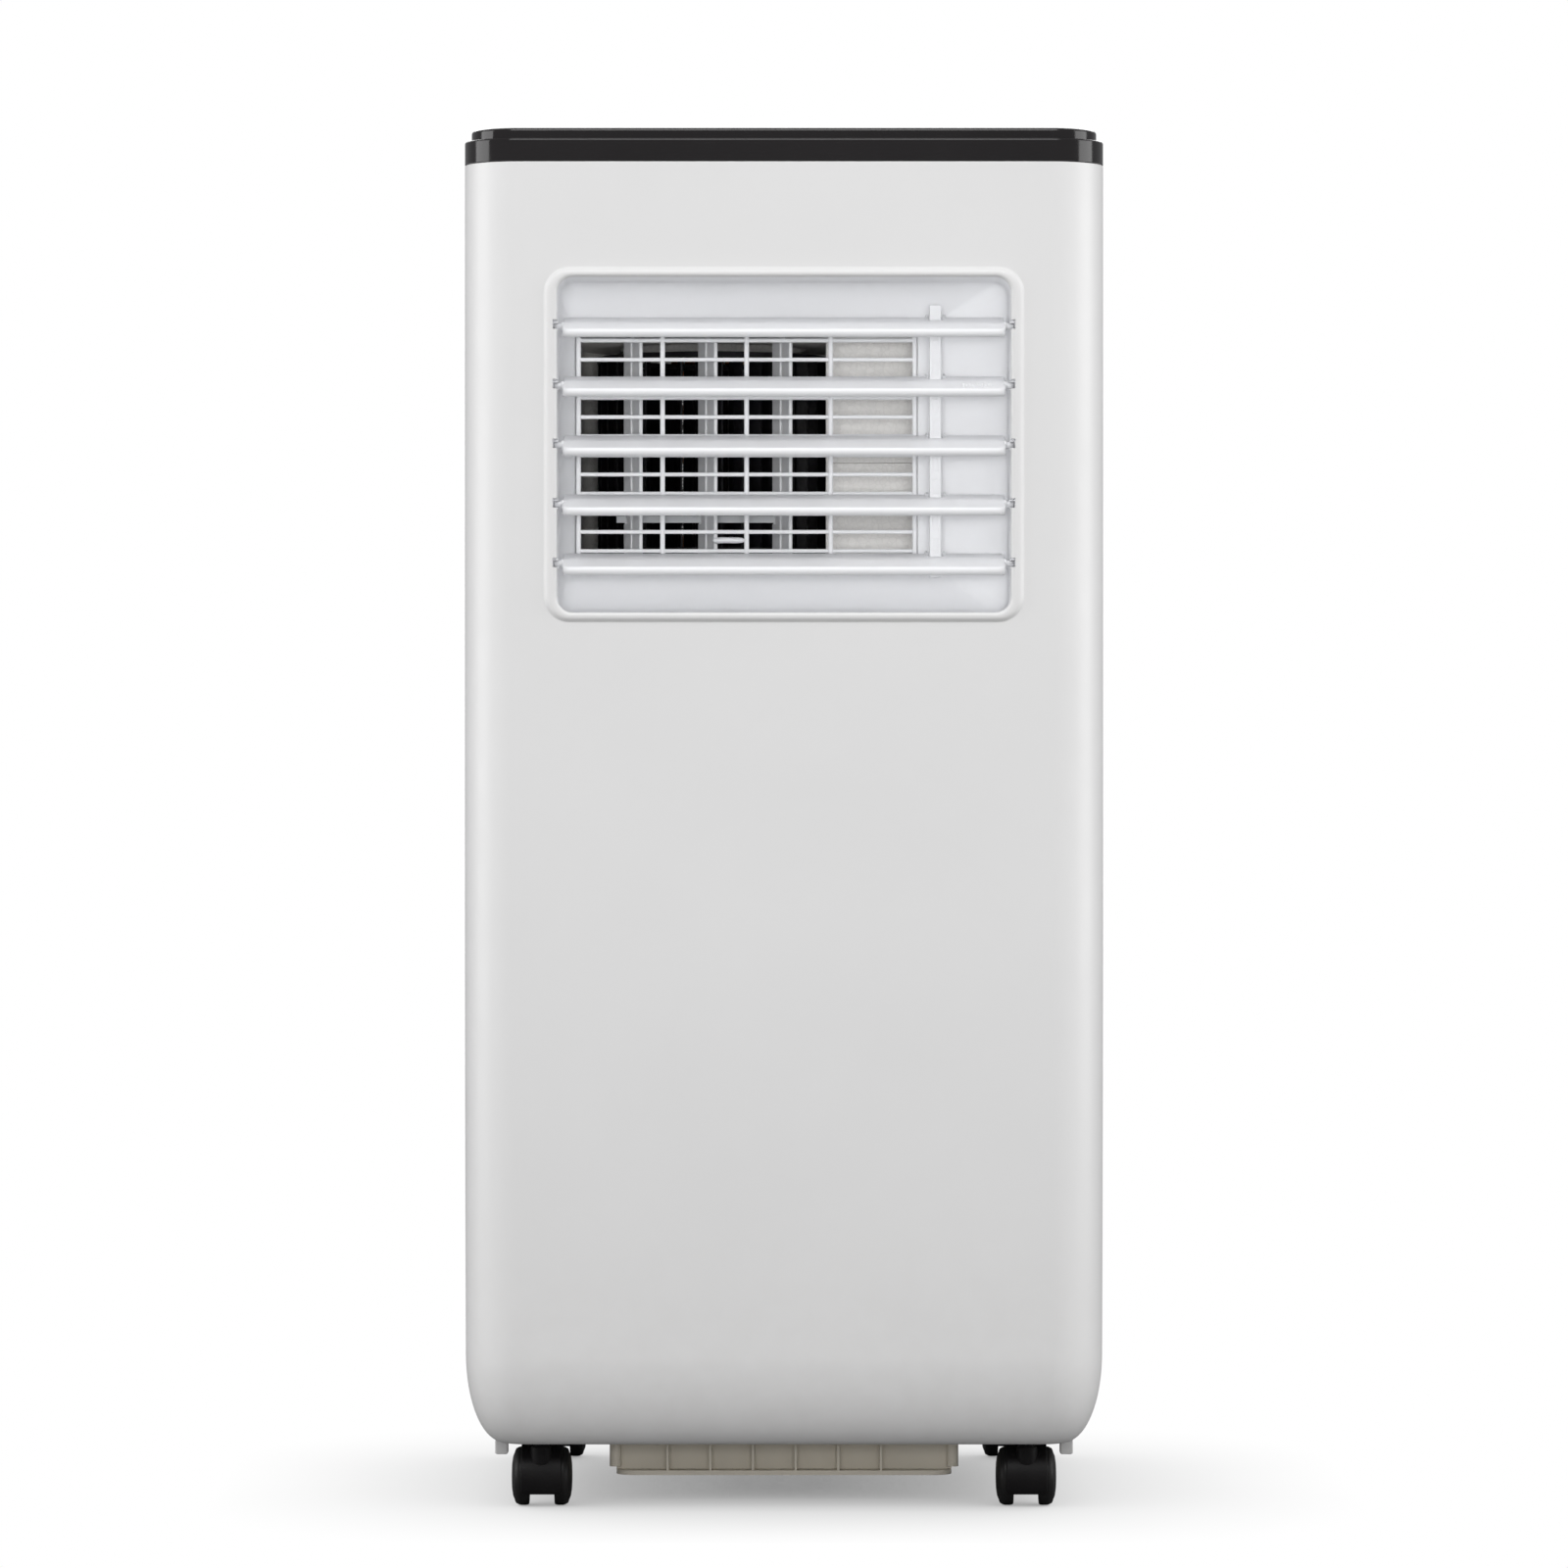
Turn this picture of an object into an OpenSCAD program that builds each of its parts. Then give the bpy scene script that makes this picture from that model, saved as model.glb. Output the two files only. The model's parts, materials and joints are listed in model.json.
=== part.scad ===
// Portable air conditioner: upright casing on four twin-wheel casters, with a louvred
// outlet at the front, two intakes and a hose port at the back, and controls on top.
// Millimetres. +Z is up, the front faces -Y, and the origin is on the floor at the centre.

/* [Casing] */
// Width of the casing, side to side
body_w = 326; // [310:1:400]
// Depth of the casing, front face to rear face
body_d = 336; // [320:1:410]
// Height of the whole unit above the floor
unit_h = 704; // [690:1:860]
// Plan radius of the casing's upright corners
corner_r = 28; // [20:1:40]
// Wall of the moulded casing shells
wall = 2.6; // [2:0.1:3.2]
// Height of the casing's lower edge above the floor
skirt_z = 33; // [33:1:44]
// How far the front face falls back at its lower edge
chin_depth = 34; // [20:1:40]
// How far each side tucks in at its lower edge
side_tuck = 20; // [10:1:26]

/* [Top] */
// Height of the black rim round the top
rim_h = 12; // [9:0.5:18]
// Height of the lid that stands on the rim
lid_h = 5.5; // [4.5:0.5:8]
// How far the lid is set in from the rim's edge
lid_inset = 3.5; // [2:0.5:8]
// Width of the control fascia
fascia_w = 152; // [140:1:200]
// Travel of a push button
button_travel = 0.8; // [0.4:0.1:1]
// Radius of a push button's cap
button_r = 7.6; // [6:0.2:9]

/* [Outlet] */
// Width of the outlet's clear mouth
mouth_w = 230; // [200:1:240]
// Height of the outlet's clear mouth
mouth_h = 170; // [160:1:190]
// Height of the mouth's centre below the casing's upper edge
mouth_drop = 143.5; // [130:0.5:180]
// Distance between neighbouring louvres
louver_pitch = 30.2; // [28:0.2:33]
// Louvre blade ahead of its pivot
louver_fore = 16.5; // [12:0.5:17]
// Louvre blade behind its pivot
louver_aft = 18.5; // [14:0.5:20]
// Tilt of the louvres at rest, front edge down, in degrees
louver_tilt = 16; // [0:1:25]
// Radius of the louvre pivot pins
louver_pin_r = 1.6; // [1.2:0.1:2]
// Distance between neighbouring upright vanes
vane_pitch = 38.7; // [34:0.1:42]
// Chord of an upright vane
vane_chord = 30; // [22:1:32]
// Turn of the vanes at rest, front edge to the right, in degrees
vane_turn = 18; // [0:1:20]

/* [Running gear] */
// Radius of a caster wheel
wheel_r = 15; // [13:0.5:15.5]
// Distance from the casing's side to a caster's swivel axis
caster_in_x = 38.5; // [37:0.5:46]
// Distance from the casing's front or rear face to a caster's swivel axis
caster_in_y = 43; // [42:1:58]
// Distance from the swivel axis back to the wheel axle
caster_trail = 11; // [8:0.5:12]

/* [Air and refrigerant] */
// Inner radius of the exhaust hose collar
exhaust_r = 65; // [55:1:66]
// Radius of the blower wheel behind the outlet
blower_r = 62; // [50:1:64]
// Radius of the exhaust fan wheel
fan_r = 70; // [55:1:72]
// Radius of the compressor's shell
compressor_r = 50; // [40:1:52]
// Height of the compressor's shell
compressor_h = 205; // [160:1:230]
// Outer radius of the coils' tubes
tube_r = 4; // [3:0.25:4.5]

/* [Hidden] */
$fn = 48;

e = 0.01;          // overrun of a cut past a face
run = 0.05;        // radial clearance of a pin or shaft that turns
slip = 0.3;        // gap between pieces that slide or drop in
gap = 0.1;         // gap between fixed pieces that rest on each other
side_x = body_w / 2;
front_y = -body_d / 2;
rear_y = body_d / 2;
seam_y = 0;        // plane where the front and rear shells meet
lean = 14;         // how far the front face leans back above its chin
lean_h = 290;      // height of that lean
chin_h = 50;
tuck_h = 46;
bead = 2;          // how far the outlet's bead and the rear grilles stand proud
shell_top = unit_h - rim_h - lid_h;
rim_top = shell_top + rim_h;
lug_w = 7;         // lugs under the front corners
lug_d = 9;
lug_h = 9;
lug_back = 38;
ledge_w = 6;       // ledges that carry the deck
ledge_l = 30;
rim_skirt = 8;     // skirt of the rim, inside the shells
rim_skirt_t = 2;
rim_land = 15;     // flat land that the lid stands on

// Outlet
mouth_z = shell_top - mouth_drop;
mouth_r = 8;
bead_w = 7;        // width of the bead beside the mouth
bead_h = 5;        // width of the bead above and below it
tub_t = 3;         // wall of the outlet's tub
tub_depth = 38;    // straight part of the tub, behind the bead's face
duct_y = front_y + 60;    // where the tub has narrowed to the grille
vane_box_d = 44;          // depth of the part that holds the vanes
duct_w = 176.6;
duct_h = 115;
duct_x = -19.3;           // the duct sits left of the mouth's centre
duct_z = mouth_z + 2.5;
grille_t = 4;
bar_t = 2.4;
grille_rows = 12;
grille_cells = 4;
louver_n = 5;
louver_y = front_y + 18;
louver_w = mouth_w - 5;
louver_z0 = mouth_z + 61; // pivot of the top louvre
louver_nose = 2.3;        // half thickness of the blade's front edge
louver_tail = 1;          // half thickness of its back edge
notch_d = 2.4;             // depth of a pivot notch in the tub's side wall
link_x = 77.4;
link_w = 6;
link_d = 3.6;
link_arm = louver_aft - 2;      // pivot to link pin
link_pin_r = 0.9;
vane_n = 3;
vane_y = duct_y + 24;
vane_x2 = duct_x - 20.4;
vane_t = 2;
vane_pin_r = 1.5;
vane_arm = vane_chord / 2 - 2.5;
vane_link_z = duct_z - duct_h / 2 + 20.8;
tab_z = duct_z - duct_h / 2 + 8.3;
tab_w = 17;

// Handle recesses in the rear shell
cup_l = 100;
cup_h = 38;
cup_depth = 24;
cup_y = seam_y + 84;
cup_z = shell_top - 76;

// Blower and foam
foam_front = duct_y + vane_box_d + 0.5;
foam_back = foam_front + 150;
foam_x = side_x - cup_depth - 3;
blower_x = duct_x - 18.7;
blower_y = foam_front + 22 + blower_r;
volute_gap = 8;
tongue_x = duct_x + 41.3;
foam_wall = 17;
foam_z0 = duct_z - duct_h / 2 - foam_wall;
foam_z1 = duct_z + duct_h / 2 + foam_wall;
foam_seam = duct_z - 7;
shaft_r = 4;

// Decks and coils
deck_z = foam_z0 - 46;
deck_t = 4;
coil_d = 26;
fin_t = 0.5;
fin_n = 30;
evap_w = body_w - 90;
evap_z0 = deck_z + 14;
evap_rows = 8;
row_pitch = 24;
evap_h = evap_rows * row_pitch + 8;
evap_y = rear_y - 42 - coil_d;
riser_x = -side_x + cup_depth + 6;    // suction line, between the coil and the handle cup
riser_y = evap_y - 8;
cond_w = body_w - 82;
cond_rows = 8;
cond_h = cond_rows * row_pitch + 8;
cond_y = rear_y - 36 - coil_d;

// Base
plate_t = 4;
plate_z = skirt_z + 7;
plate_top = plate_z + plate_t;
cond_z0 = plate_top + 10;
pan_gap = 0.5;     // gap between the base and the shells
pan_r = 12;
pan_rim_t = 4;
pan_rim_h = 4;
socket_r = 9;
tray_w = 180;
tray_d = 220;
tray_z = 14.8;
tray_floor = 2.4;
tray_step = 4;     // height at which the tray widens
tray_in = 3.5;     // how much narrower it is below that
rib_shift = -5;    // the ribs sit left of the tray's centre
tray_top = plate_z - gap;
rib_pitch = 22;
rib_t = 1.2;
caster_x = side_x - caster_in_x;
caster_y = rear_y - caster_in_y;
stem_r = 4;
stem_top = plate_top + 10;
tread_in = 6.3;
tread_out = 12.7;
hub_out = 15.5;
hood_w = 20.8;
hood_gap = 0.8;
hood_t = 1.4;
axle_r = 2;

// Compressor, exhaust fan and exhaust
comp_x = -side_x + 88;
comp_y = front_y + 106;
comp_z = plate_top + 12;
acc_r = 17;        // accumulator beside the compressor
acc_h = 110;
foot_out = 7;      // centre of a foot beyond the compressor's shell
foot_r = 8;
foot_w = 24;
foot_t = 3.5;
stud_r = 5;
fan_x = side_x - 118;
fan_z = plate_top + fan_r + 50;
fan_w = 50;
scroll_y0 = rear_y - 156;
scroll_d = fan_w + 16;
scroll_r = fan_r + 12;
sheet_t = 2.4;
exhaust_x = side_x - 101;
exhaust_z = fan_z + scroll_r + 96;
collar_l = 34;
collar_t = 3;
duct_box = 2 * exhaust_r + 10;

// Openings at the back
intake_w = 236;
intake_up_h = 196;
intake_up_z = evap_z0 + evap_h / 2 + 4;
intake_lo_h = 180;
intake_lo_z = cond_z0 + cond_h / 2 + 14;
slat_pitch = 9;
slat_t = 2.4;
frame_w = 8;

// Screws, drain and gland
screw_r = 1.7;
screw_head_r = 3.6;
screw_x = intake_w / 2 + 10;
spout_x = -70;
spout_z = plate_top + 15;
spout_r = 8;
spout_y = rear_y - 34;    // the spout's inner end, at the sump wall
spout_bore_r = spout_r - 2.5;
sump_t = 5;               // wall that carries the spout
hose_room = 6;            // room round the spout for a hose
gland_x = -side_x + 40;
gland_z = exhaust_z + 30;
cord_hole_r = 3.8;

// Controls
fascia_d = 58;
fascia_t = 2.6;
fascia_top = unit_h - 0.8;
fascia_y = front_y + 62;
button_x = [-58, -38, 38, 58, -18];
board_top = rim_top - 10;
board_t = 1.6;
switch_w = 6;
switch_h = 3;
disp_x = 6;        // display, right of the middle and behind the buttons
disp_dy = 8;
disp_w = 36;
disp_d = 16;

// Ellipse fall-back of a lower edge: 0 above h, d at the edge
function tuck(z, h, d) =
    let (s = max(0, 1 - (z - skirt_z) / h)) d * (1 - sqrt(max(0, 1 - s * s)));

// How far the front face falls back at height z: a long gentle lean and a short round chin
function chin(z, g) =
    g + lean * pow(max(0, 1 - (z - skirt_z) / lean_h), 2) + tuck(z, chin_h, chin_depth - lean);

// Flat outline with round corners, centred
module rrect(w, h, r) {
    square([w - 2 * r, h], center = true);
    square([w, h - 2 * r], center = true);
    for (x = [-1, 1], y = [-1, 1])
        translate([x * (w / 2 - r), y * (h / 2 - r)]) circle(r);
}

// Extrudes an XZ outline from y0 to y1
module along_y(y0, y1) translate([0, y1, 0]) rotate([90, 0, 0]) linear_extrude(y1 - y0) children();

// Extrudes a YZ outline from x0 to x1
module along_x(x0, x1) translate([x0, 0, 0]) rotate([90, 0, 90]) linear_extrude(x1 - x0) children();

module box(x0, x1, y0, y1, z0, z1) translate([x0, y0, z0]) cube([x1 - x0, y1 - y0, z1 - z0]);

module rod(r, l) cylinder(r = r, h = l, center = true);

// Solid of the casing, set in by g on every face
module casing_form(g) {
    zs = concat([for (i = [0:12]) skirt_z + chin_h * (1 - cos(i * 7.5))],
                [for (i = [1:7]) skirt_z + chin_h + i * (lean_h - chin_h) / 7]);
    tucks = [for (i = [0:10]) skirt_z + tuck_h * (1 - cos(i * 9))];
    top = shell_top + 1;
    intersection() {
        translate([0, 0, skirt_z]) linear_extrude(top - skirt_z)
            rrect(body_w - 2 * g, body_d - 2 * g, corner_r - g);
        along_x(-side_x, side_x) polygon(concat(
            [for (z = zs) [front_y + chin(z, g), z]],
            [[front_y + g, top], [rear_y - g, top]],
            [for (i = [len(tucks) - 1:-1:0])
                [rear_y - g - tuck(tucks[i], tuck_h, side_tuck), tucks[i]]]));
        along_y(front_y, rear_y) polygon(concat(
            [for (z = tucks) [-side_x + g + tuck(z, tuck_h, side_tuck), z]],
            [[-side_x + g, top], [side_x - g, top]],
            [for (i = [len(tucks) - 1:-1:0])
                [side_x - g - tuck(tucks[i], tuck_h, side_tuck), tucks[i]]]));
    }
}

module shell_half(y0, y1) {
    intersection() {
        difference() {
            casing_form(0);
            casing_form(wall);
        }
        box(-side_x, side_x, y0, y1, skirt_z, shell_top);
    }
}

// Small lugs under the front shell's lower corners
module skirt_lugs() {
    difference() {
        for (s = [-1, 1]) translate([s * (side_x - side_tuck + lug_w / 2),
            front_y + chin_depth + lug_back, skirt_z])
            box(-lug_w / 2, lug_w / 2, 0, lug_d, -lug_h, lug_w / 2 + 1);
        casing_form(wall);
    }
}

// Ledges inside a shell that the mid deck rests on
module deck_ledges(y0, y1) {
    for (s = [-1, 1], y = [y0 + 24, y1 - ledge_l - 24])
        translate([s * (side_x - wall - 2.5), y, deck_z - ledge_w - gap])
            box(-ledge_w / 2, ledge_w / 2, 0, ledge_l, 0, ledge_w);
}

// Front half of the casing, with the opening for the outlet
module front_panel() color("whitesmoke") {
    difference() {
        shell_half(front_y, seam_y);
        translate([0, 0, mouth_z]) along_y(front_y - e, front_y + 20)
            rrect(mouth_w + 2 * tub_t + 1, mouth_h + 2 * tub_t + 1, mouth_r + tub_t);
    }
    skirt_lugs();
    deck_ledges(front_y, seam_y);
}

module intake_window(z, h) translate([0, 0, z]) along_y(rear_y - 20, rear_y + e)
    rrect(intake_w + 0.6, h + 0.6, 8);

// Rear half of the casing, with its windows, handle holes and screw holes
module rear_panel() color("whitesmoke") difference() {
    union() {
        shell_half(seam_y, rear_y);
        deck_ledges(seam_y, rear_y);
    }
    intake_window(intake_up_z, intake_up_h);
    intake_window(intake_lo_z, intake_lo_h);
    translate([exhaust_x, 0, exhaust_z]) along_y(rear_y - 20, rear_y + e) circle(exhaust_r + collar_t + slip);
    translate([gland_x, 0, gland_z]) along_y(rear_y - 20, rear_y + e) circle(7 + slip);
    translate([spout_x, 0, spout_z]) along_y(rear_y - 40, rear_y + e) circle(spout_r + hose_room);
    for (s = [-1, 1]) translate([s * side_x, cup_y, cup_z]) rotate([0, 90, 0])
        linear_extrude(20, center = true) rrect(cup_h, cup_l, 12);
    screw_places() rotate([90, 0, 0]) rod(screw_r + 0.3, 40);
}

// Ring that caps the shells, with a skirt inside them and lugs for the upper screws
module top_rim() color("#2b2829") difference() {
    out = wall + slip;
    union() {
        translate([0, 0, shell_top]) linear_extrude(rim_h) rrect(body_w, body_d, corner_r);
        translate([0, 0, shell_top - rim_skirt]) linear_extrude(rim_skirt + e)
            rrect(body_w - 2 * out, body_d - 2 * out, corner_r - out);
    }
    translate([0, 0, shell_top - rim_skirt - e]) linear_extrude(rim_skirt + rim_h - 4)
        rrect(body_w - 2 * (out + rim_skirt_t), body_d - 2 * (out + rim_skirt_t),
            corner_r - out - rim_skirt_t);
    translate([0, 0, rim_top - 10]) linear_extrude(20)
        rrect(body_w - 2 * rim_land, body_d - 2 * rim_land, corner_r - rim_land + 1);
    screw_holes();
}

// Lid on the rim, hollow underneath and open for the fascia
module top_lid() color("#1f1d1e") difference() {
    translate([0, 0, rim_top]) linear_extrude(lid_h)
        rrect(body_w - 2 * lid_inset, body_d - 2 * lid_inset, corner_r - lid_inset);
    translate([0, 0, rim_top - e]) linear_extrude(lid_h - 2.8)
        difference() {
            rrect(body_w - 2 * rim_land - 2, body_d - 2 * rim_land - 2, corner_r - rim_land - 1);
            translate([0, fascia_y]) square([fascia_w + 8, fascia_d + 8], center = true);
        }
    translate([0, fascia_y, fascia_top - fascia_t]) linear_extrude(lid_h)
        rrect(fascia_w + 0.4, fascia_d + 0.4, 6);
    translate([0, fascia_y, rim_top - e]) linear_extrude(lid_h)
        rrect(fascia_w - 6, fascia_d - 6, 4);
}

// Place of button i; the fifth one stands alone below the display
function button_at(i) = [button_x[i], fascia_y - (i == 4 ? 14 : 0)];

// Fascia plate with button holes, a display window and four legs
module control_fascia() color("#141314") difference() {
    union() {
        translate([0, fascia_y, fascia_top - fascia_t]) linear_extrude(fascia_t) rrect(fascia_w,
            fascia_d, 5.8);
        for (x = [-1, 1], y = [-1, 1]) translate([x * (fascia_w / 2 - 11), fascia_y + y * 20,
            board_top + gap])
            cylinder(r = 2.4, h = fascia_top - board_top - 1);    // legs on the board
    }
    for (i = [0:4]) translate(concat(button_at(i), 0)) cylinder(r = button_r + 0.35, h = unit_h + 10);
    translate([disp_x, fascia_y + disp_dy, 0]) linear_extrude(unit_h) rrect(disp_w + 0.4, disp_d + 0.4, 2.2);
}

module display_window() color("#303840") translate([disp_x, fascia_y + disp_dy, fascia_top - fascia_t])
    linear_extrude(fascia_t + 0.1) rrect(disp_w, disp_d, 2);

// Circuit board under the fascia, with a tact switch below each button and the display
module display_board() color("#1c5c38") {
    box(-fascia_w / 2 + 6, fascia_w / 2 - 6, fascia_y - 24, fascia_y + 24, board_top - board_t, board_top);
    for (i = [0:4]) translate(concat(button_at(i), board_top - e)) {
        translate([-switch_w / 2, -switch_w / 2, 0]) cube([switch_w, switch_w, switch_h]);
        translate([0, 0, switch_h - e]) cylinder(r = 1.6, h = 1);
    }
    box(disp_x - disp_w / 2 + 4, disp_x + disp_w / 2 - 4, fascia_y + disp_dy - 6, fascia_y + disp_dy + 6,
        board_top - e, board_top + 6);
}

module push_button(i) color("#d8d8d8") translate(concat(button_at(i), 0)) {
    translate([0, 0, rim_top + 1.2]) cylinder(r = button_r, h = unit_h - rim_top - 1.2);
    translate([0, 0, rim_top + 0.6]) cylinder(r = button_r + 1.4, h = fascia_top - fascia_t - rim_top - 1);
    translate([0, 0, board_top + 4.2 + button_travel]) cylinder(r = 2,
        h = rim_top - board_top - 2 - button_travel);
}

// Outline of the tub's narrow end, at the grille
module duct_outline(grow) translate([duct_x, duct_z]) square([duct_w + 2 * grow, duct_h + 2 * grow],
    center = true);

module mouth_outline(grow) translate([0, mouth_z]) rrect(mouth_w + 2 * grow, mouth_h + 2 * grow,
    mouth_r + grow);

// Tub that narrows from the mouth to the duct, grown outwards by g
module tub(g) {
    along_y(g > 0 ? front_y : front_y - bead - e, front_y + tub_depth) mouth_outline(g);
    hull() {
        along_y(front_y + tub_depth - 1, front_y + tub_depth) mouth_outline(g, $fn = 24);
        along_y(duct_y - 1, duct_y) duct_outline(g);
    }
    along_y(duct_y - 1, duct_y + vane_box_d + (g > 0 ? 0 : e)) duct_outline(g);
}

function louver_z(i) = louver_z0 - i * louver_pitch;
function vane_x(i) = vane_x2 + (i - 1) * vane_pitch;

// Outlet moulding: bead, tub and duct, with seats for louvre and vane pins
module outlet_frame() color("white") difference() {
    union() {
        translate([0, 0, mouth_z]) along_y(front_y - bead, front_y)
            rrect(mouth_w + 2 * bead_w, mouth_h + 2 * bead_h, mouth_r + bead_h);
        tub(tub_t);
    }
    tub(0);
    for (i = [0:louver_n - 1], s = [-1, 1]) translate([s * mouth_w / 2, louver_y, louver_z(i)]) {
        rotate([0, 90, 0]) rod(louver_pin_r + run, 2 * notch_d);
        translate([-notch_d, -9, -1.3]) cube([2 * notch_d, 9, 2.6]);
        translate([-notch_d, front_y - bead - louver_y - e, -2.4]) cube([2 * notch_d, bead + 9, 4.8]);
    }
    for (i = [0:vane_n - 1]) translate([vane_x(i), vane_y, duct_z]) rod(vane_pin_r + run, duct_h + 5);
}

// Finger guard across the duct
module outlet_grille() color("white") {
    w = duct_w - 2 * slip;
    h = duct_h - 2 * slip;
    translate([duct_x, 0, duct_z]) along_y(duct_y, duct_y + grille_t) difference() {
        square([w, h], center = true);
        for (c = [0:grille_cells - 1], r = [0:grille_rows]) {
            cell = (w - 3) / grille_cells;
            row = (h - 2 * bar_t - 1) / (grille_rows - 1);
            z0 = -h / 2 + bar_t / 2 + 0.5 + (r - 1) * row + bar_t / 2;
            z1 = z0 + row - bar_t;
            if (z1 < h / 2 && z0 > -h / 2)
                translate([-w / 2 + 1.5 + c * cell + 1.4, z0]) square([cell - 2.8, z1 - z0]);
        }
    }
}

// Blade section: round nose at the front, thinner tail, pivot at 0
function blade_outline(fore, aft, nose, tail) = concat(
    [for (a = [90:15:270]) [-fore + nose + nose * cos(a), nose * sin(a)]],
    [for (a = [-90:30:90]) [aft - tail + tail * cos(a), tail * sin(a)]]);

// Louvre i, 0 at the top; the second one has grip dots for a fingertip
module louver(i) color("white") translate([0, louver_y, louver_z(i)]) rotate([louver_tilt, 0, 0]) {
    difference() {
        along_x(-louver_w / 2, louver_w / 2)
            polygon(blade_outline(louver_fore, louver_aft, louver_nose, louver_tail));
        box(link_x - link_w / 2 - 0.7, link_x + link_w / 2 + 0.7, link_arm - 6.6, louver_aft + 1, -3, 3);
    }
    translate([link_x, link_arm, 0]) rotate([0, 90, 0]) rod(link_pin_r, link_w + 3);
    for (s = [-1, 1]) {
        translate([s * (mouth_w / 2 - 2.9), 0, 0]) rotate([0, 90, 0]) rod(louver_pin_r, 10);
        translate([s * (louver_w / 2 + 0.5), 0, 0]) rotate([0, 90, 0]) rod(2.4, 1.4);
    }
    if (i == 1)
        for (c = [0:4], r = [0:2]) translate([link_x + 14 + c * 3.4 + (r % 2) * 1.7, -10 + r * 3, 0])
            cylinder(r = 0.6, h = 2);
}

// Upright bar that ties the louvres together
module louver_link() color("white") {
    y = louver_y + link_arm * cos(louver_tilt);
    dz = link_arm * sin(louver_tilt);
    difference() {
        box(link_x - link_w / 2, link_x + link_w / 2, y - link_d / 2, y + link_d / 2,
            louver_z(louver_n - 1) - 6.5, louver_z0 + 12);
        for (i = [0:louver_n - 1]) translate([link_x, y, louver_z(i) + dz]) rotate([0, 90, 0])
            rod(link_pin_r + run, link_w + 1);
    }
}

// Upright vane i, 0 at the left; the middle one carries the finger tab
module vane(i) color("white") translate([vane_x(i), vane_y, 0]) rotate([0, 0, vane_turn]) {
    z0 = duct_z - duct_h / 2 + 2;
    z1 = duct_z + duct_h / 2 - 2;
    difference() {
        translate([0, 0, z0]) linear_extrude(z1 - z0) rotate(90)
            polygon(blade_outline(vane_chord / 2, vane_chord / 2, vane_t / 2, vane_t / 3));
        box(-3, 3, vane_arm - 3.4, vane_chord, vane_link_z - 2.5, vane_link_z + 2.5);
    }
    translate([0, vane_arm, vane_link_z]) rod(0.8, 7);
    translate([0, 0, duct_z]) rod(vane_pin_r, duct_h + 4);
    for (z = [z0 - 0.7, z1 + 0.7]) translate([0, 0, z]) rod(2.6, 1.5);
    if (i == 1) {
        box(-1.4, 1.4, -vane_chord / 2 - 20, -vane_chord / 2 + 3, tab_z - 1.2, tab_z + 1.2);
        translate([0, -vane_chord / 2 - 21.5, tab_z - 1.5]) linear_extrude(3) rrect(tab_w, 11, 5.2);
    }
}

// Bar that ties the vanes together
module vane_link() color("#d9dcdf") difference() {
    dx = -vane_arm * sin(vane_turn);
    y = vane_y + vane_arm * cos(vane_turn);
    box(vane_x(0) + dx - 5, vane_x(2) + dx + 5, y - 1.8, y + 1.8, vane_link_z - 1.8, vane_link_z + 1.8);
    for (i = [0:vane_n - 1]) translate([vane_x(i) + dx, y, vane_link_z]) rod(0.8 + run, 5);
}

// Foam block with the blower's volute in it, cut between z0 and z1
module foam_block(z0, z1) intersection() {
    difference() {
        box(-foam_x, foam_x, foam_front, foam_back, deck_z + deck_t + gap, foam_z1);
        translate([0, 0, duct_z - duct_h / 2]) linear_extrude(duct_h) {
            translate([blower_x, blower_y]) circle(blower_r + volute_gap);
            translate([duct_x - duct_w / 2, foam_front - e])
                square([tongue_x - duct_x + duct_w / 2, blower_y - foam_front]);
        }
        translate([blower_x, blower_y, duct_z]) cylinder(r = blower_r - 12, h = duct_h);
        translate([blower_x, blower_y, deck_z]) cylinder(r = 42, h = duct_z - deck_z);
        translate([blower_x, blower_y, deck_z]) cylinder(r = 52, h = foam_z0 - deck_z);
    }
    box(-side_x, side_x, front_y, rear_y, z0, z1);
}

module foam_volute_upper() color("ivory") foam_block(foam_seam + 0.2, foam_z1);
module foam_volute_lower() color("ivory") foam_block(deck_z, foam_seam);

// Forward-curved wheel about +Z, centred: rings at the ends, a hub disc and n blades
module drum_wheel(r, h, n, disc_t) {
    for (z = [-h / 2, h / 2 - 3]) translate([0, 0, z]) difference() {
        cylinder(r = r, h = 3);
        translate([0, 0, -e]) cylinder(r = r - 11, h = 4);
    }
    translate([0, 0, -h / 2]) difference() {
        cylinder(r = r - 5, h = disc_t);
        for (a = [0:60:300]) rotate(a) translate([r * 0.5, 0, -e]) cylinder(r = r * 0.12, h = disc_t + 1);
    }
    translate([0, 0, -h / 2]) cylinder(r = 11, h = 26);
    for (k = [0:n - 1]) rotate(k * 360 / n) translate([r - 10, 0, -h / 2 + 1]) linear_extrude(h - 2)
        polygon([[0, 0], [5, 1.5], [9.4, 5], [9, 5.9], [4.6, 2.5], [-0.2, 0.9]]);
}

// Blower wheel and its shaft
module blower_wheel() color("#242326") translate([blower_x, blower_y, duct_z]) {
    drum_wheel(blower_r, duct_h - 9, 36, 3);
    translate([0, 0, -duct_h / 2 - 34]) cylinder(r = shaft_r, h = 50);
}

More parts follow.
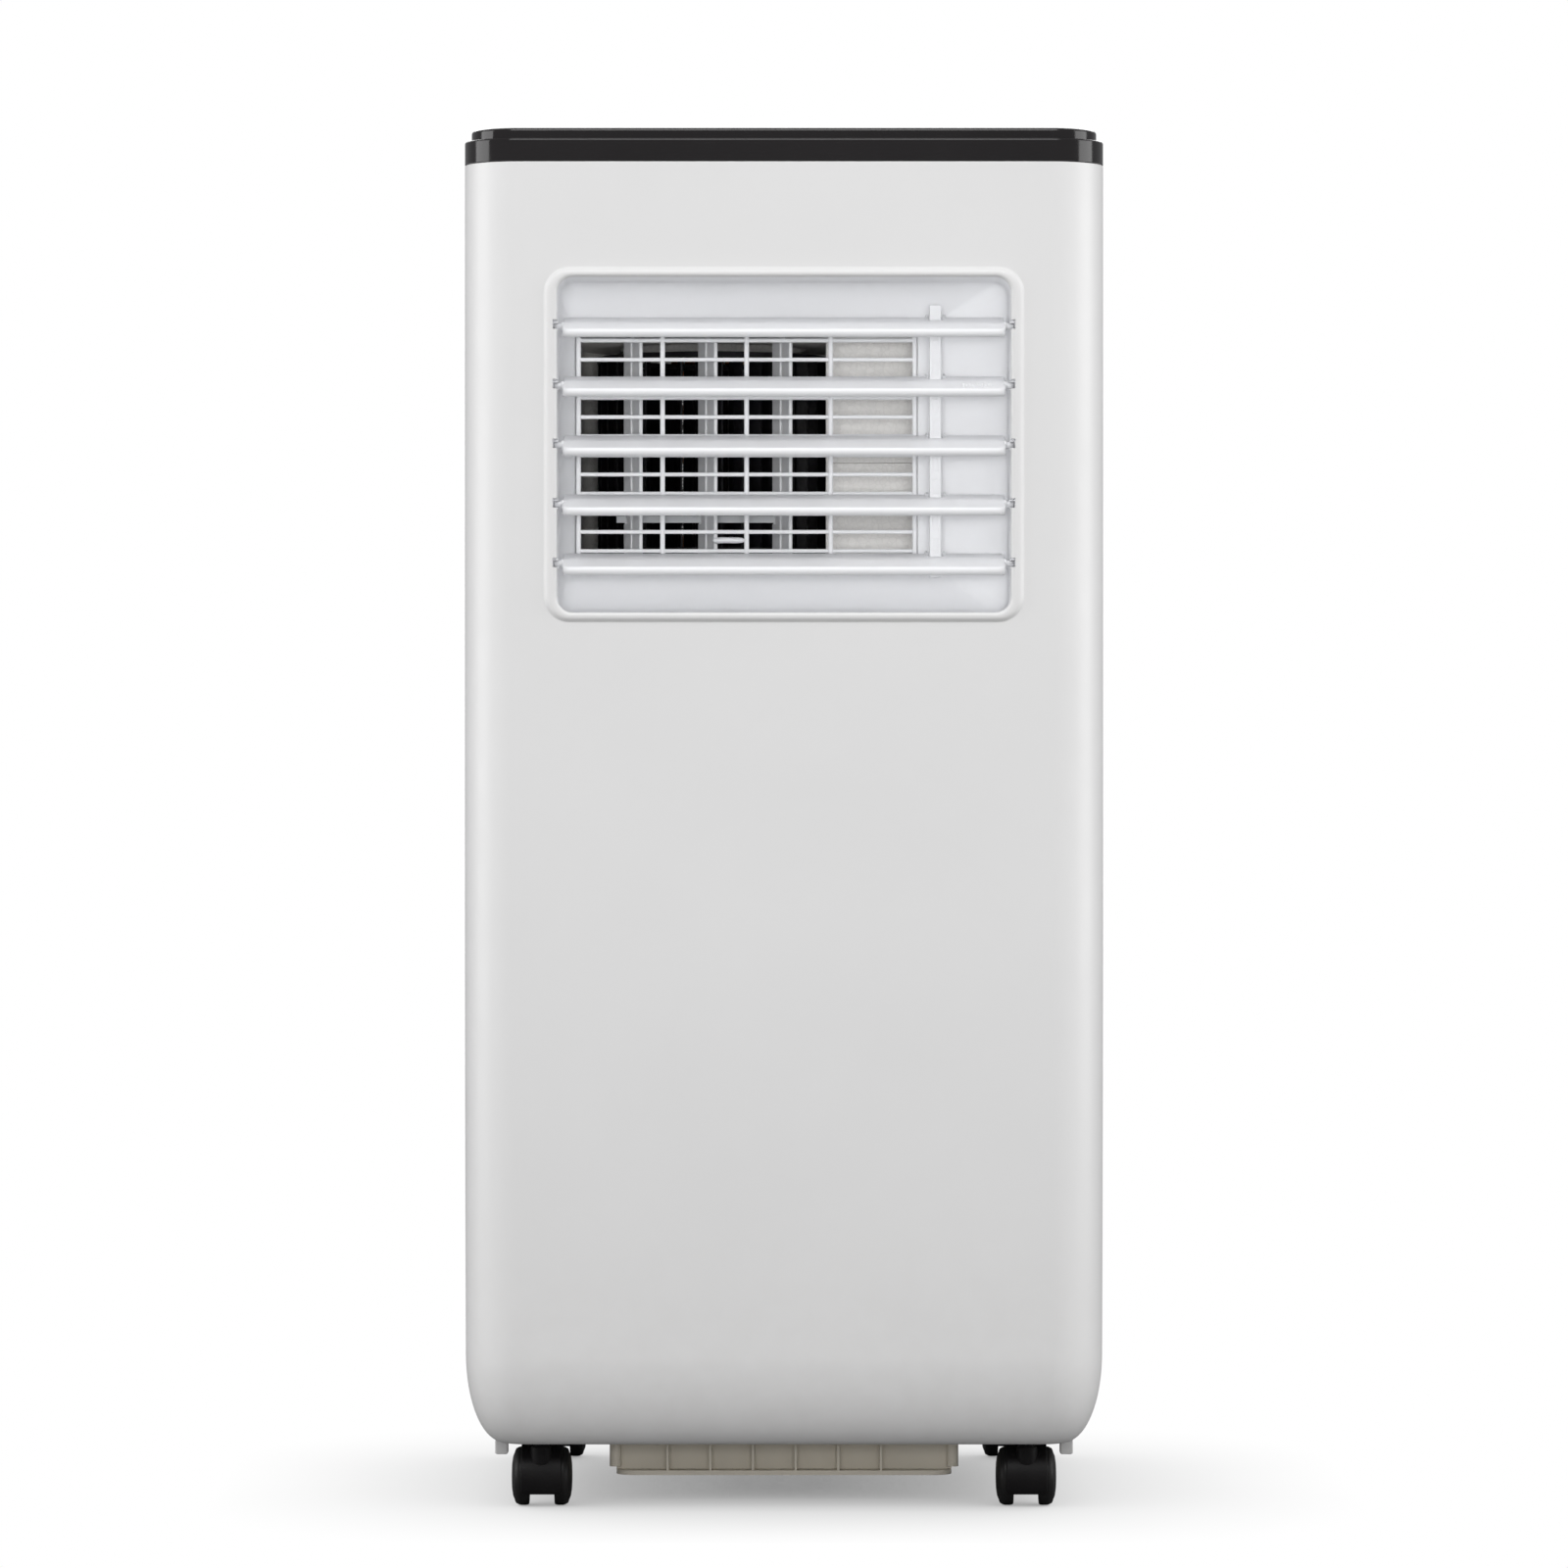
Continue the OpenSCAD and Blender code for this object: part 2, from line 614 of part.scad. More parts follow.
// Motor under the blower, on the deck
module blower_motor() color("#8d9196") translate([blower_x, blower_y, 0]) difference() {
    union() {
        translate([0, 0, foam_z0 - 26]) cylinder(r = 38, h = 28);
        translate([0, 0, foam_z0]) cylinder(r = 14, h = 10);
        translate([0, 0, deck_z + deck_t + gap]) cylinder(r = 24, h = foam_z0 - 25 - deck_z - deck_t);
        for (a = [30:120:270]) rotate(a) translate([0, -6, deck_z + deck_t + gap]) cube([46, 12, 3]);
    }
    translate([0, 0, foam_z0 - 24]) cylinder(r = shaft_r + run, h = 60);
}

// Fin pack: plates across w with holes for the tubes; the end plates are thicker and stand on foot
module fins(w, y, z0, rows, foot) for (k = [0:fin_n - 1]) {
    x = -w / 2 + 12 + k * (w - 24) / (fin_n - 1);
    last = k == 0 || k == fin_n - 1;
    along_x(x, x + fin_t * (last ? 3 : 1)) difference() {
        translate([y, z0 - (last ? foot : 0)]) square([coil_d, rows * row_pitch + 8 + (last ? foot : 0)]);
        for (r = [0:rows - 1]) translate([y + coil_d / 2, z0 + 16 + r * row_pitch]) circle(tube_r + gap);
    }
}

// Serpentine tube with a return bend at the end of each row
module serpentine(w, y, z0, rows) {
    x1 = w / 2 - 6;
    for (r = [0:rows - 1]) translate([0, y + coil_d / 2, z0 + 16 + r * row_pitch]) rotate([0, 90, 0])
        rod(tube_r, 2 * x1);
    for (r = [0:rows - 2]) {
        s = r % 2 == 0 ? 1 : -1;
        translate([s * x1, y + coil_d / 2, z0 + 16 + (r + 0.5) * row_pitch]) rotate([90, 0, 0])
            rotate(s > 0 ? -90 : 90) rotate_extrude(angle = 180) translate([row_pitch / 2, 0]) circle(tube_r);
    }
}

module evaporator_fins() color("silver") fins(evap_w, evap_y, evap_z0, evap_rows, 10 - gap);
module evaporator_tubes() color("#b87333") serpentine(evap_w, evap_y, evap_z0, evap_rows);
module condenser_fins() color("silver") fins(cond_w, cond_y, cond_z0, cond_rows, 10 - gap);
module condenser_tubes() color("#b87333") serpentine(cond_w, cond_y, cond_z0, cond_rows);

// Deck between the cold and hot bays, with a drip trough under the evaporator
module mid_deck() color("gainsboro") {
    g = wall + slip + 0.4;
    difference() {
        union() {
            translate([0, 0, deck_z]) linear_extrude(deck_t) rrect(body_w - 2 * g, body_d - 2 * g,
                corner_r - g);
            difference() {
                box(-evap_w / 2 - 4, evap_w / 2 + 4, evap_y - 8, evap_y + coil_d + 8, deck_z, deck_z + 12);
                box(-evap_w / 2 - 2, evap_w / 2 + 2, evap_y - 6, evap_y + coil_d + 6, deck_z + deck_t,
                    deck_z + 13);
            }
            for (s = [-1, 1])
                box(s * screw_x - 7, s * screw_x + 7, rear_y - wall - slip - 12, rear_y - g, deck_z,
                    deck_z + 18);
        }
        translate([riser_x - 5, riser_y + 3, deck_z - 1]) linear_extrude(deck_t + 2) rrect(28, 22, 6);
        screw_holes();
    }
}

// Grille leaf for a rear window: frame, upright ribs and slats
module intake_leaf(z, h) translate([0, 0, z]) {
    along_y(rear_y - 8, rear_y + bead) difference() {
        rrect(intake_w, h, 7.7);
        rrect(intake_w - 2 * frame_w, h - 2 * frame_w, 4);
    }
    for (x = [-1, 0, 1])
        box(x * intake_w / 4 - 2, x * intake_w / 4 + 2, rear_y - 6, rear_y + bead - 0.6, -h / 2 + 4,
            h / 2 - 4);
    n = floor((h - 2 * frame_w) / slat_pitch);
    for (k = [1:n - 1]) let (zz = -h / 2 + frame_w + k * (h - 2 * frame_w) / n)
        box(-intake_w / 2 + 4, intake_w / 2 - 4, rear_y - 5, rear_y + bead - 1, zz - slat_t / 2,
            zz + slat_t / 2);
}

module intake_grille_upper() color("whitesmoke") intake_leaf(intake_up_z, intake_up_h);
module intake_grille_lower() color("whitesmoke") intake_leaf(intake_lo_z, intake_lo_h);

// Washable filter clipped behind the upper grille: a frame with a coarse net
module air_filter() color("#33363a") translate([0, 0, intake_up_z]) along_y(rear_y - 12 - slip,
        rear_y - 8 - slip) {
    w = intake_w - 6;
    h = intake_up_h - 6;
    nx = 12;
    nz = 10;
    difference() {
        rrect(w, h, 5);
        for (i = [0:nx - 1], j = [0:nz - 1]) {
            cx = (w - 8) / nx;
            cz = (h - 8) / nz;
            translate([-w / 2 + 4 + (i + 0.5) * cx, -h / 2 + 4 + (j + 0.5) * cz])
                square([cx - 1, cz - 1], center = true);
        }
    }
}

// Lifting cups in the casing's sides
module handle_cups() color("gainsboro") for (s = [-1, 1]) translate([s * side_x, cup_y, cup_z])
    rotate([0, s * -90, 0]) difference() {
        union() {
            linear_extrude(cup_depth) rrect(cup_h - 0.8, cup_l - 0.8, 11.6);
            translate([0, 0, wall + 0.1]) linear_extrude(2) rrect(cup_h + 8, cup_l + 8, 15);
        }
        translate([0, 0, -e]) linear_extrude(cup_depth - wall + 0.2) rrect(cup_h - 5.8, cup_l - 5.8, 9);
    }

// Hermetic compressor: drawn shell with domed ends, foot plate, accumulator and ports
module compressor() color("#26282b") translate([comp_x, comp_y, comp_z]) {
    r = compressor_r;
    rotate_extrude() polygon(concat([[0, 0]],
        [for (a = [-90:15:0]) [r - 16 + 16 * cos(a), 16 + 16 * sin(a)]],
        [for (a = [0:15:90]) [r - 24 + 24 * cos(a), compressor_h - 24 + 24 * sin(a)]],
        [[0, compressor_h]]));
    difference() {
        for (k = [0:2]) rotate(k * 120) translate([0, -foot_w / 2, 0])
            cube([r + foot_out + foot_r, foot_w, foot_t]);
        for (k = [0:2]) rotate(k * 120) translate([r + foot_out, 0, -1]) cylinder(r = stud_r + slip,
            h = foot_t + 2);
    }
    translate([0, r + acc_r + 4, 40]) cylinder(r = acc_r, h = acc_h);
    for (z = [60, 120]) translate([-6, r - 4, z]) cube([12, 12, 8]);
    translate([12, 0, compressor_h - 2]) cylinder(r = 6, h = 8);
    translate([-14, 12, compressor_h - 2]) cylinder(r = 14, h = 12);
}

// Three rubber feet on studs, one under each arm of the foot plate
module compressor_mounts() color("#3a3a3a") for (k = [0:2])
    translate([comp_x, comp_y, 0]) rotate(k * 120) translate([compressor_r + foot_out, 0, 0]) {
        translate([0, 0, plate_top + gap]) cylinder(r = foot_r + 1, h = comp_z - plate_top - 2 * gap);
        translate([0, 0, comp_z - 1]) cylinder(r = stud_r, h = foot_t + 2);
        translate([0, 0, comp_z + foot_t + gap]) cylinder(r = foot_r, h = 4);
    }

// Refrigerant line through points: straight runs with a round elbow at each corner
module pipe(points, r) for (i = [1:len(points) - 1]) {
    p = points[i - 1];
    d = points[i] - p;
    l = norm(d);
    translate(p) rotate([0, acos(d[2] / l), atan2(d[1], d[0])]) cylinder(r = r, h = l);
    if (i < len(points) - 1) translate(points[i]) sphere(r);
}

// Suction, discharge and liquid lines down the left side of the casing
module refrigerant_pipes() color("#b87333") {
    evap_c = evap_y + coil_d / 2;
    cond_c = cond_y + coil_d / 2;
    evap_end = -evap_w / 2 + 6 - gap;
    cond_end = -cond_w / 2 + 6 - gap;
    rise = (evap_rows - 1) * row_pitch;
    top = comp_z + compressor_h;
    acc_y = comp_y + compressor_r + acc_r + 4;
    wall_x = -side_x + 11;
    pipe([[evap_end, evap_c, evap_z0 + 16 + rise], [riser_x, evap_c, evap_z0 + 16 + rise],
          [riser_x, riser_y, evap_z0 + 16 + rise], [riser_x, riser_y, top + 60], [riser_x, acc_y, top + 60],
          [comp_x, acc_y, top + 60], [comp_x, acc_y, comp_z + 40 + acc_h + gap]], 4);
    pipe([[comp_x + 12, comp_y, top + 6 + gap], [comp_x + 12, comp_y, top + 34], [wall_x, comp_y, top + 34],
          [wall_x, cond_c, top + 34], [wall_x, cond_c, cond_z0 + 16 + rise], [cond_end, cond_c,
              cond_z0 + 16 + rise]], 3);
    pipe([[cond_end, cond_c, cond_z0 + 16], [riser_x - 10, cond_c, cond_z0 + 16],
          [riser_x - 10, riser_y + 6, cond_z0 + 16], [riser_x - 10, riser_y + 6, evap_z0 + 16],
          [riser_x - 10, evap_c, evap_z0 + 16], [evap_end, evap_c, evap_z0 + 16]], 2);
}

// Outline of the fan casing, grown outwards by g: a round with a chimney up one side
module scroll_outline(g) {
    circle(scroll_r + g);
    translate([-6 - g, 0]) square([scroll_r + 6 + 2 * g, exhaust_z - duct_box / 2 - fan_z - (g > 0 ? slip : -1)]);
}

// Casing of the exhaust fan, open at the back for the intake and at the top
module fan_scroll() color("#d7d7d2") translate([fan_x, 0, fan_z]) difference() {
    union() {
        along_y(scroll_y0, scroll_y0 + scroll_d) scroll_outline(sheet_t);
        leg_h = sqrt(pow(scroll_r + sheet_t, 2) - pow(scroll_r / 2 + 3, 2)) - 1;
        for (s = [-1, 1]) translate([s * scroll_r / 2, 0, 0])
            box(-2, 2, scroll_y0, scroll_y0 + scroll_d, plate_top + gap - fan_z, 1 - leg_h);
    }
    along_y(scroll_y0 + sheet_t, scroll_y0 + scroll_d - sheet_t) scroll_outline(0);
    along_y(scroll_y0 + scroll_d - 5, scroll_y0 + scroll_d + 1) circle(fan_r - 14);
    along_y(scroll_y0 - 1, scroll_y0 + 5) circle(8);
}

// Exhaust fan wheel and its shaft
module fan_wheel() color("#d0d2d4") translate([fan_x, scroll_y0 + scroll_d / 2, fan_z]) rotate([-90, 0, 0]) {
    drum_wheel(fan_r, fan_w, 32, 3);
    translate([0, 0, -fan_w / 2 - 30]) cylinder(r = shaft_r, h = 34);
}

// Motor on the front of the fan casing
module fan_motor() color("#8d9196") translate([fan_x, scroll_y0 - gap, fan_z]) rotate([90, 0, 0])
        difference() {
    union() {
        translate([0, 0, 3]) cylinder(r = 36, h = 48);
        cylinder(r = 12, h = 4);
        for (a = [0, 90, 180, 270]) rotate(a + 45) translate([30, -6, 0]) cube([14, 12, 6]);
    }
    translate([0, 0, -1]) cylinder(r = shaft_r + run, h = 24);
}

// Elbow from the scroll's top to the round collar in the rear panel
module exhaust_duct() color("#d7d7d2") {
    z0 = exhaust_z - duct_box / 2;
    y0 = scroll_y0;
    y1 = rear_y - wall - collar_l + 6;
    difference() {
        box(exhaust_x - duct_box / 2, exhaust_x + duct_box / 2, y0, y1, z0, z0 + duct_box);
        box(exhaust_x - duct_box / 2 + sheet_t, exhaust_x + duct_box / 2 - sheet_t, y0 + sheet_t,
            y1 - sheet_t,
            z0 + sheet_t, z0 + duct_box - sheet_t);
        box(fan_x - 6, fan_x + scroll_r - sheet_t, y0 + sheet_t, y0 + scroll_d - sheet_t, z0 - 1, z0 + 5);
        translate([exhaust_x, 0, exhaust_z]) along_y(y1 - 5, y1 + 1) circle(exhaust_r);
    }
}

// Round collar that the exhaust hose's adapter pushes into
module exhaust_collar() color("whitesmoke") translate([exhaust_x, 0, exhaust_z]) {
    y1 = rear_y - wall - collar_l + 6;
    along_y(y1, rear_y + bead) difference() {
        circle(exhaust_r + collar_t);
        circle(exhaust_r);
    }
    along_y(rear_y + 0.1, rear_y + bead) difference() {
        circle(exhaust_r + collar_t + 5);
        circle(exhaust_r);
    }
}

// Steel box for the electrics, open at the front, and the main board in it
module control_box() color("#b9bcbf") {
    x0 = fan_x - 34;
    z0 = deck_z - 120 - gap;
    difference() {
        box(x0, x0 + 110, front_y + 24, front_y + 90, z0, z0 + 120);
        box(x0 + 1.5, x0 + 108.5, front_y + 23, front_y + 88.5, z0 + 1.5, z0 + 118.5);
    }
}

// Main circuit board with its relays, coil and capacitors
module main_board() color("#1c5c38") {
    x0 = fan_x - 28;
    z0 = deck_z - 114;
    y = front_y + 82;
    for (a = [6, 92], c = [5, 103]) translate([x0 + a, y + 1.5, z0 + c]) rotate([-90, 0, 0])
        cylinder(r = 2.6, h = 5 - gap);
    box(x0, x0 + 98, y, y + 1.6, z0, z0 + 108);
    box(x0 + 6, x0 + 30, y - 20, y + e, z0 + 70, z0 + 100);
    box(x0 + 40, x0 + 54, y - 16, y + e, z0 + 74, z0 + 94);
    box(x0 + 60, x0 + 92, y - 10, y + e, z0 + 8, z0 + 18);
    translate([x0 + 24, y - 32, z0 + 30]) rotate([-90, 0, 0]) cylinder(r = 15, h = 32 + e);
    for (k = [0:3]) translate([x0 + 62 + k * 9, y - 14, z0 + 50]) rotate([-90, 0, 0])
        cylinder(r = 3.6, h = 14 + e);
}

// Flanged gland for the mains lead
module cord_gland() color("#2f2f31") translate([gland_x, 0, gland_z]) difference() {
    union() {
        along_y(rear_y - wall - 6, rear_y + bead) circle(7);
        along_y(rear_y + gap, rear_y + bead) circle(10);
        along_y(rear_y - wall - 6, rear_y - wall - gap) circle(9);
    }
    along_y(rear_y - 20, rear_y + 10) circle(cord_hole_r);
}

// Rubber bung in the drain spout
module drain_bung() color("#3a3a3a") translate([spout_x, 0, spout_z]) {
    along_y(rear_y - 16, rear_y - 5) circle(spout_bore_r - run);
    along_y(rear_y - 6 + slip, rear_y - 2) circle(spout_r - 0.6);
}

// Places of the six screws through the rear panel into the base, the deck and the rim
module screw_places() for (s = [-1, 1], z = [skirt_z + tuck_h + 3, deck_z + 9, shell_top - 4])
    translate([s * screw_x, rear_y, z]) children();

module screw_holes() screw_places() rotate([90, 0, 0]) rod(screw_r - 0.2, 50);

module casing_screws() color("silver") screw_places() difference() {
    union() {
        rotate([90, 0, 0]) cylinder(r = screw_r - 0.2 - run, h = 14);
        rotate([-90, 0, 0]) cylinder(r = screw_head_r, h = bead - 0.2);
    }
    for (a = [0, 90]) rotate([0, a, 0]) box(-2.2, 2.2, bead - 1.1, bead, -0.45, 0.45);
}

module caster_sockets(r, z0, z1) for (x = [-1, 1], y = [-1, 1])
    translate([x * caster_x, y * caster_y, z0]) cylinder(r = r, h = z1 - z0);

// Moulded base: floor plate with a rim, caster sockets, drain holes, screw posts and the drain spout
module base_pan() color("#c9c9c6") {
    x1 = side_x - side_tuck - wall - pan_gap;
    y0 = front_y + chin_depth + wall + pan_gap;
    y1 = rear_y - side_tuck - wall - pan_gap;
    mid = (y0 + y1) / 2;
    post_top = skirt_z + tuck_h + 12;
    difference() {
        union() {
            difference() {
                translate([0, mid, skirt_z + 1]) linear_extrude(plate_top + pan_rim_h - skirt_z - 1)
                    rrect(2 * x1, y1 - y0, pan_r);
                translate([0, mid, 0]) linear_extrude(plate_z)
                    rrect(2 * (x1 - pan_rim_t), y1 - y0 - 2 * pan_rim_t, pan_r - pan_rim_t);
                translate([0, mid, plate_top]) linear_extrude(pan_rim_h + 1)
                    rrect(2 * (x1 - pan_rim_t), y1 - y0 - 2 * pan_rim_t, pan_r - pan_rim_t);
            }
            caster_sockets(socket_r, skirt_z + 1, stem_top + 3);
            for (s = [-1, 1]) {
                box(s * screw_x - 7, s * screw_x + 7, rear_y - 22, rear_y - wall - 2.5, post_top - 20,
                    post_top);
                box(s * screw_x - 7, s * screw_x + 7, y1 - 5, y1 + 5, plate_top - 1, post_top);
            }
            box(spout_x - spout_r - 4, spout_x + spout_r + 4, spout_y, spout_y + sump_t,
                plate_top - 1, spout_z + spout_r + 2);
            translate([spout_x, 0, spout_z]) along_y(spout_y, rear_y - 6) circle(spout_r);
        }
        caster_sockets(stem_r + run, 0, stem_top + 1);
        for (x = [-60, 0, 60], y = [-60, 60]) translate([x, y, 0]) cylinder(r = 4, h = plate_top + 5);
        translate([spout_x, 0, spout_z]) along_y(spout_y - 1, rear_y) circle(spout_bore_r);
        screw_holes();
    }
}

// Shallow condensate tray under the base, with ribs outside its front and back walls
module drain_tray() color("#d5cbb0") difference() {
    union() {
        translate([0, 0, tray_z]) linear_extrude(tray_floor) rrect(tray_w - 2 * tray_in, tray_d, 10);
        box(-tray_w / 2, tray_w / 2, -tray_d / 2 + 10, tray_d / 2 - 10, tray_z + tray_step, tray_top);
        box(-tray_w / 2 + tray_in, tray_w / 2 - tray_in, -tray_d / 2 + 10, tray_d / 2 - 10,
            tray_z, tray_z + tray_step + 1);
        for (s = [-1, 1]) {
            for (k = [-2.5:1:2.5]) box(rib_shift + k * rib_pitch - rib_t / 2,
                rib_shift + k * rib_pitch + rib_t / 2,
                s * (tray_d / 2 - 5.5) - 5, s * (tray_d / 2 - 5.5) + 5, tray_z + 1, tray_top);
            for (x = [-1, 1]) {
                translate([x * (tray_w / 2 - 3), s * (tray_d / 2 - 7), tray_z + tray_step])
                    cylinder(r = 3, h = tray_top - tray_z - tray_step);
                box(x * (tray_w / 2 - 3) - 3, x * (tray_w / 2 - 3) + 3,
                    s * (tray_d / 2 - 9) - 2, s * (tray_d / 2 - 9) + 2, tray_z + tray_step, tray_top);
            }
        }
    }
    box(-tray_w / 2 + 9, tray_w / 2 - 9, -tray_d / 2 + 12, tray_d / 2 - 12, tray_z + tray_floor, plate_z + 1);
}

function caster_at(k) = [(k % 2 == 0 ? -1 : 1) * caster_x, (k < 2 ? -1 : 1) * caster_y, 0];

// Hooded yoke of caster k: stem, hood over the treads and a web with the axle
module caster_frame(k) color("#1d1c1e") translate(caster_at(k)) {
    r0 = wheel_r + hood_gap;
    difference() {
        union() {
            translate([0, caster_trail, wheel_r]) rotate([0, 90, 0]) {
                rod(wheel_r - 6, 2 * tread_in - 1);
                rotate(150) rotate_extrude(angle = 150) translate([r0, -hood_w / 2]) square([hood_t, hood_w]);
            }
            intersection() {
                box(-tread_in + 0.5, tread_in - 0.5, -caster_trail, caster_trail + 12, 7, 2 * wheel_r + 2);
                translate([0, caster_trail, wheel_r]) rotate([0, 90, 0]) rod(r0 + 0.5, 20);
            }
            translate([0, 0, 2 * wheel_r - 8]) cylinder(r = 5.5, h = 9.5);
            translate([0, 0, 2 * wheel_r]) cylinder(r = stem_r, h = stem_top - 2 * wheel_r);
        }
        translate([0, caster_trail, wheel_r]) rotate([0, 90, 0]) rod(axle_r + run, 40);
    }
}

// The two wheels of caster k on their steel axle
module caster_wheels(k) color("#232225") translate(caster_at(k) + [0, caster_trail, wheel_r]) rotate([0,
        90, 0]) {
    rod(axle_r, 2 * tread_out);
    for (s = [-1, 1]) mirror([0, 0, s < 0 ? 1 : 0]) rotate_extrude() polygon(concat(
        [[1.5, tread_in + 0.2], [wheel_r - 0.6, tread_in + 0.2], [wheel_r, tread_in + 0.8], [wheel_r,
            tread_out - 0.6]],
        [for (a = [10:16:90]) [(wheel_r - 0.4) * cos(a), tread_out - 0.4 + (hub_out - tread_out + 0.4)
            * sin(a)]],
        [[1.5, hub_out]]));
}

front_panel();
rear_panel();
top_rim();
top_lid();
control_fascia();
display_window();
display_board();
push_button(0);  // button_power
push_button(1);  // button_mode
push_button(4);  // button_speed
push_button(2);  // button_up
push_button(3);  // button_down
outlet_frame();
outlet_grille();
louver(0);  // louver_1
louver(1);  // louver_2
louver(2);  // louver_3
louver(3);  // louver_4
louver(4);  // louver_5
louver_link();
vane(0);  // vane_1
vane(1);  // vane_2
vane(2);  // vane_3
vane_link();
foam_volute_upper();
foam_volute_lower();
blower_wheel();
blower_motor();
evaporator_fins();
evaporator_tubes();
mid_deck();
intake_grille_upper();
air_filter();
intake_grille_lower();
handle_cups();
compressor();
compressor_mounts();
refrigerant_pipes();
condenser_fins();
condenser_tubes();
fan_scroll();
fan_wheel();
fan_motor();
exhaust_duct();
exhaust_collar();
control_box();
main_board();
cord_gland();
casing_screws();
drain_bung();
base_pan();
drain_tray();
caster_frame(0);  // caster_frame_1
caster_frame(1);  // caster_frame_2
caster_frame(2);  // caster_frame_3
caster_frame(3);  // caster_frame_4
caster_wheels(0);  // caster_wheels_1
caster_wheels(1);  // caster_wheels_2
caster_wheels(2);  // caster_wheels_3
caster_wheels(3);  // caster_wheels_4
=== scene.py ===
"""Looks of a portable air conditioner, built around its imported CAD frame. Metres, +Z up, front at -Y."""

import json
import math

import bmesh
import bpy
from mathutils import Matrix, Vector

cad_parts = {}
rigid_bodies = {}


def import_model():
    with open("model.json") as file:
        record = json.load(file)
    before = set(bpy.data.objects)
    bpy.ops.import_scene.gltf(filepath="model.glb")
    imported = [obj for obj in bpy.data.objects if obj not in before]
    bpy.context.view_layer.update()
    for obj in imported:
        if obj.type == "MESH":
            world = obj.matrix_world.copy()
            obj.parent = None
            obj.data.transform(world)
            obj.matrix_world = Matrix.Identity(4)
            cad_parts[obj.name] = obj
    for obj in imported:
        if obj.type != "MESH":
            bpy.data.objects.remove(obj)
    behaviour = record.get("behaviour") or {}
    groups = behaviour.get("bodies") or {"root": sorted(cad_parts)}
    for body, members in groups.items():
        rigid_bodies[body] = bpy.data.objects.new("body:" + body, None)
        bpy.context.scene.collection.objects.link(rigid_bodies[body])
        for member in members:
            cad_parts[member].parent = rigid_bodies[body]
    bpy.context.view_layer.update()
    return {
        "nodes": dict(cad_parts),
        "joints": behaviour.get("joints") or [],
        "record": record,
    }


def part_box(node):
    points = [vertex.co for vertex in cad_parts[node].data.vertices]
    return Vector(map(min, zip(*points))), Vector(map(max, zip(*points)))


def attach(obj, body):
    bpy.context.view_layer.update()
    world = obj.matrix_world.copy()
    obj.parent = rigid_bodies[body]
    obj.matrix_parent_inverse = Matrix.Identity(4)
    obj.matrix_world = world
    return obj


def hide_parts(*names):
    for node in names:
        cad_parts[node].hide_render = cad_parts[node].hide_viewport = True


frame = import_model()
NODES = frame["nodes"]
MM = 0.001


def pivot(name):
    """Where a joint of the record sits, in metres."""
    return [j for j in frame["joints"] if j["name"] == name][0]["pos_m"]


def middle(node):
    """Low corner, high corner and centre of a CAD node's box."""
    lo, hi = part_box(node)
    return lo, hi, (lo + hi) / 2


# ---------------------------------------------------------------- mesh helpers
def outline(w, h, r, seg=8):
    """Rounded rectangle about the origin, counter-clockwise from its lower right corner."""
    pts = []
    for k, (sx, sy) in enumerate(((1, -1), (1, 1), (-1, 1), (-1, -1))):
        for i in range(seg + 1):
            a = math.radians(-90 + 90 * k + 90 * i / seg)
            pts.append((sx * (w / 2 - r) + r * math.cos(a), sy * (h / 2 - r) + r * math.sin(a)))
    return pts


def circle(r, n=48):
    return [(r * math.cos(2 * math.pi * i / n), r * math.sin(2 * math.pi * i / n)) for i in range(n)]


def loft(rings, loop=False):
    """Skin over rings of equal length, capped at both ends unless it loops back to the first."""
    n, m = len(rings[0]), len(rings)
    verts = [tuple(p) for ring in rings for p in ring]
    faces = []
    for i in range(m if loop else m - 1):
        a, b = i * n, (i + 1) % m * n
        faces += [(a + j, a + (j + 1) % n, b + (j + 1) % n, b + j) for j in range(n)]
    if not loop:
        faces += [tuple(range(n - 1, -1, -1)), tuple(range((m - 1) * n, m * n))]
    return verts, faces


def moved(part, matrix):
    return [tuple(matrix @ Vector(v)) for v in part[0]], part[1]


def at(x, y, z):
    return Matrix.Translation((x, y, z))


def turned(angle, axis):
    return Matrix.Rotation(math.radians(angle), 4, axis)


def prism_y(pts, y0, y1, x=0.0, z=0.0):
    """XZ outline pushed from y0 to y1."""
    return loft([[(x + a, y, z + b) for a, b in pts] for y in (y0, y1)])


def prism_x(pts, x0, x1, y=0.0, z=0.0):
    return loft([[(x, y + a, z + b) for a, b in pts] for x in (x0, x1)])


def block(x0, x1, y0, y1, z0, z1, r=0.0004):
    """Box with small rounded edges all round."""
    w, d = x1 - x0, y1 - y0
    cx, cy = (x0 + x1) / 2, (y0 + y1) / 2
    r = min(r, w / 3, d / 3, (z1 - z0) / 3)
    rings = []
    soft = 0.3 * r
    for z, s in ((z0, r), (z0 + soft, soft), (z0 + r, 0), (z1 - r, 0), (z1 - soft, soft), (z1, r)):
        rings.append([(cx + a, cy + b, z) for a, b in outline(w - 2 * s, d - 2 * s, r, 2)])
    return loft(rings)


def rod(r, l, n=24, soft=0.15):
    """Round rod about Z, centred, with softened ends."""
    s = min(soft * r, l / 4)
    return loft([[(a, b, z) for a, b in circle(q, n)]
                 for z, q in ((-l / 2, r - s), (-l / 2 + s, r), (l / 2 - s, r), (l / 2, r - s))])


def lathe(profile, n=64):
    """Closed (radius, z) profile turned about Z."""
    rings = []
    for i in range(n):
        a = 2 * math.pi * i / n
        rings.append([(r * math.cos(a), r * math.sin(a), z) for r, z in profile])
    return loft(rings, loop=True)


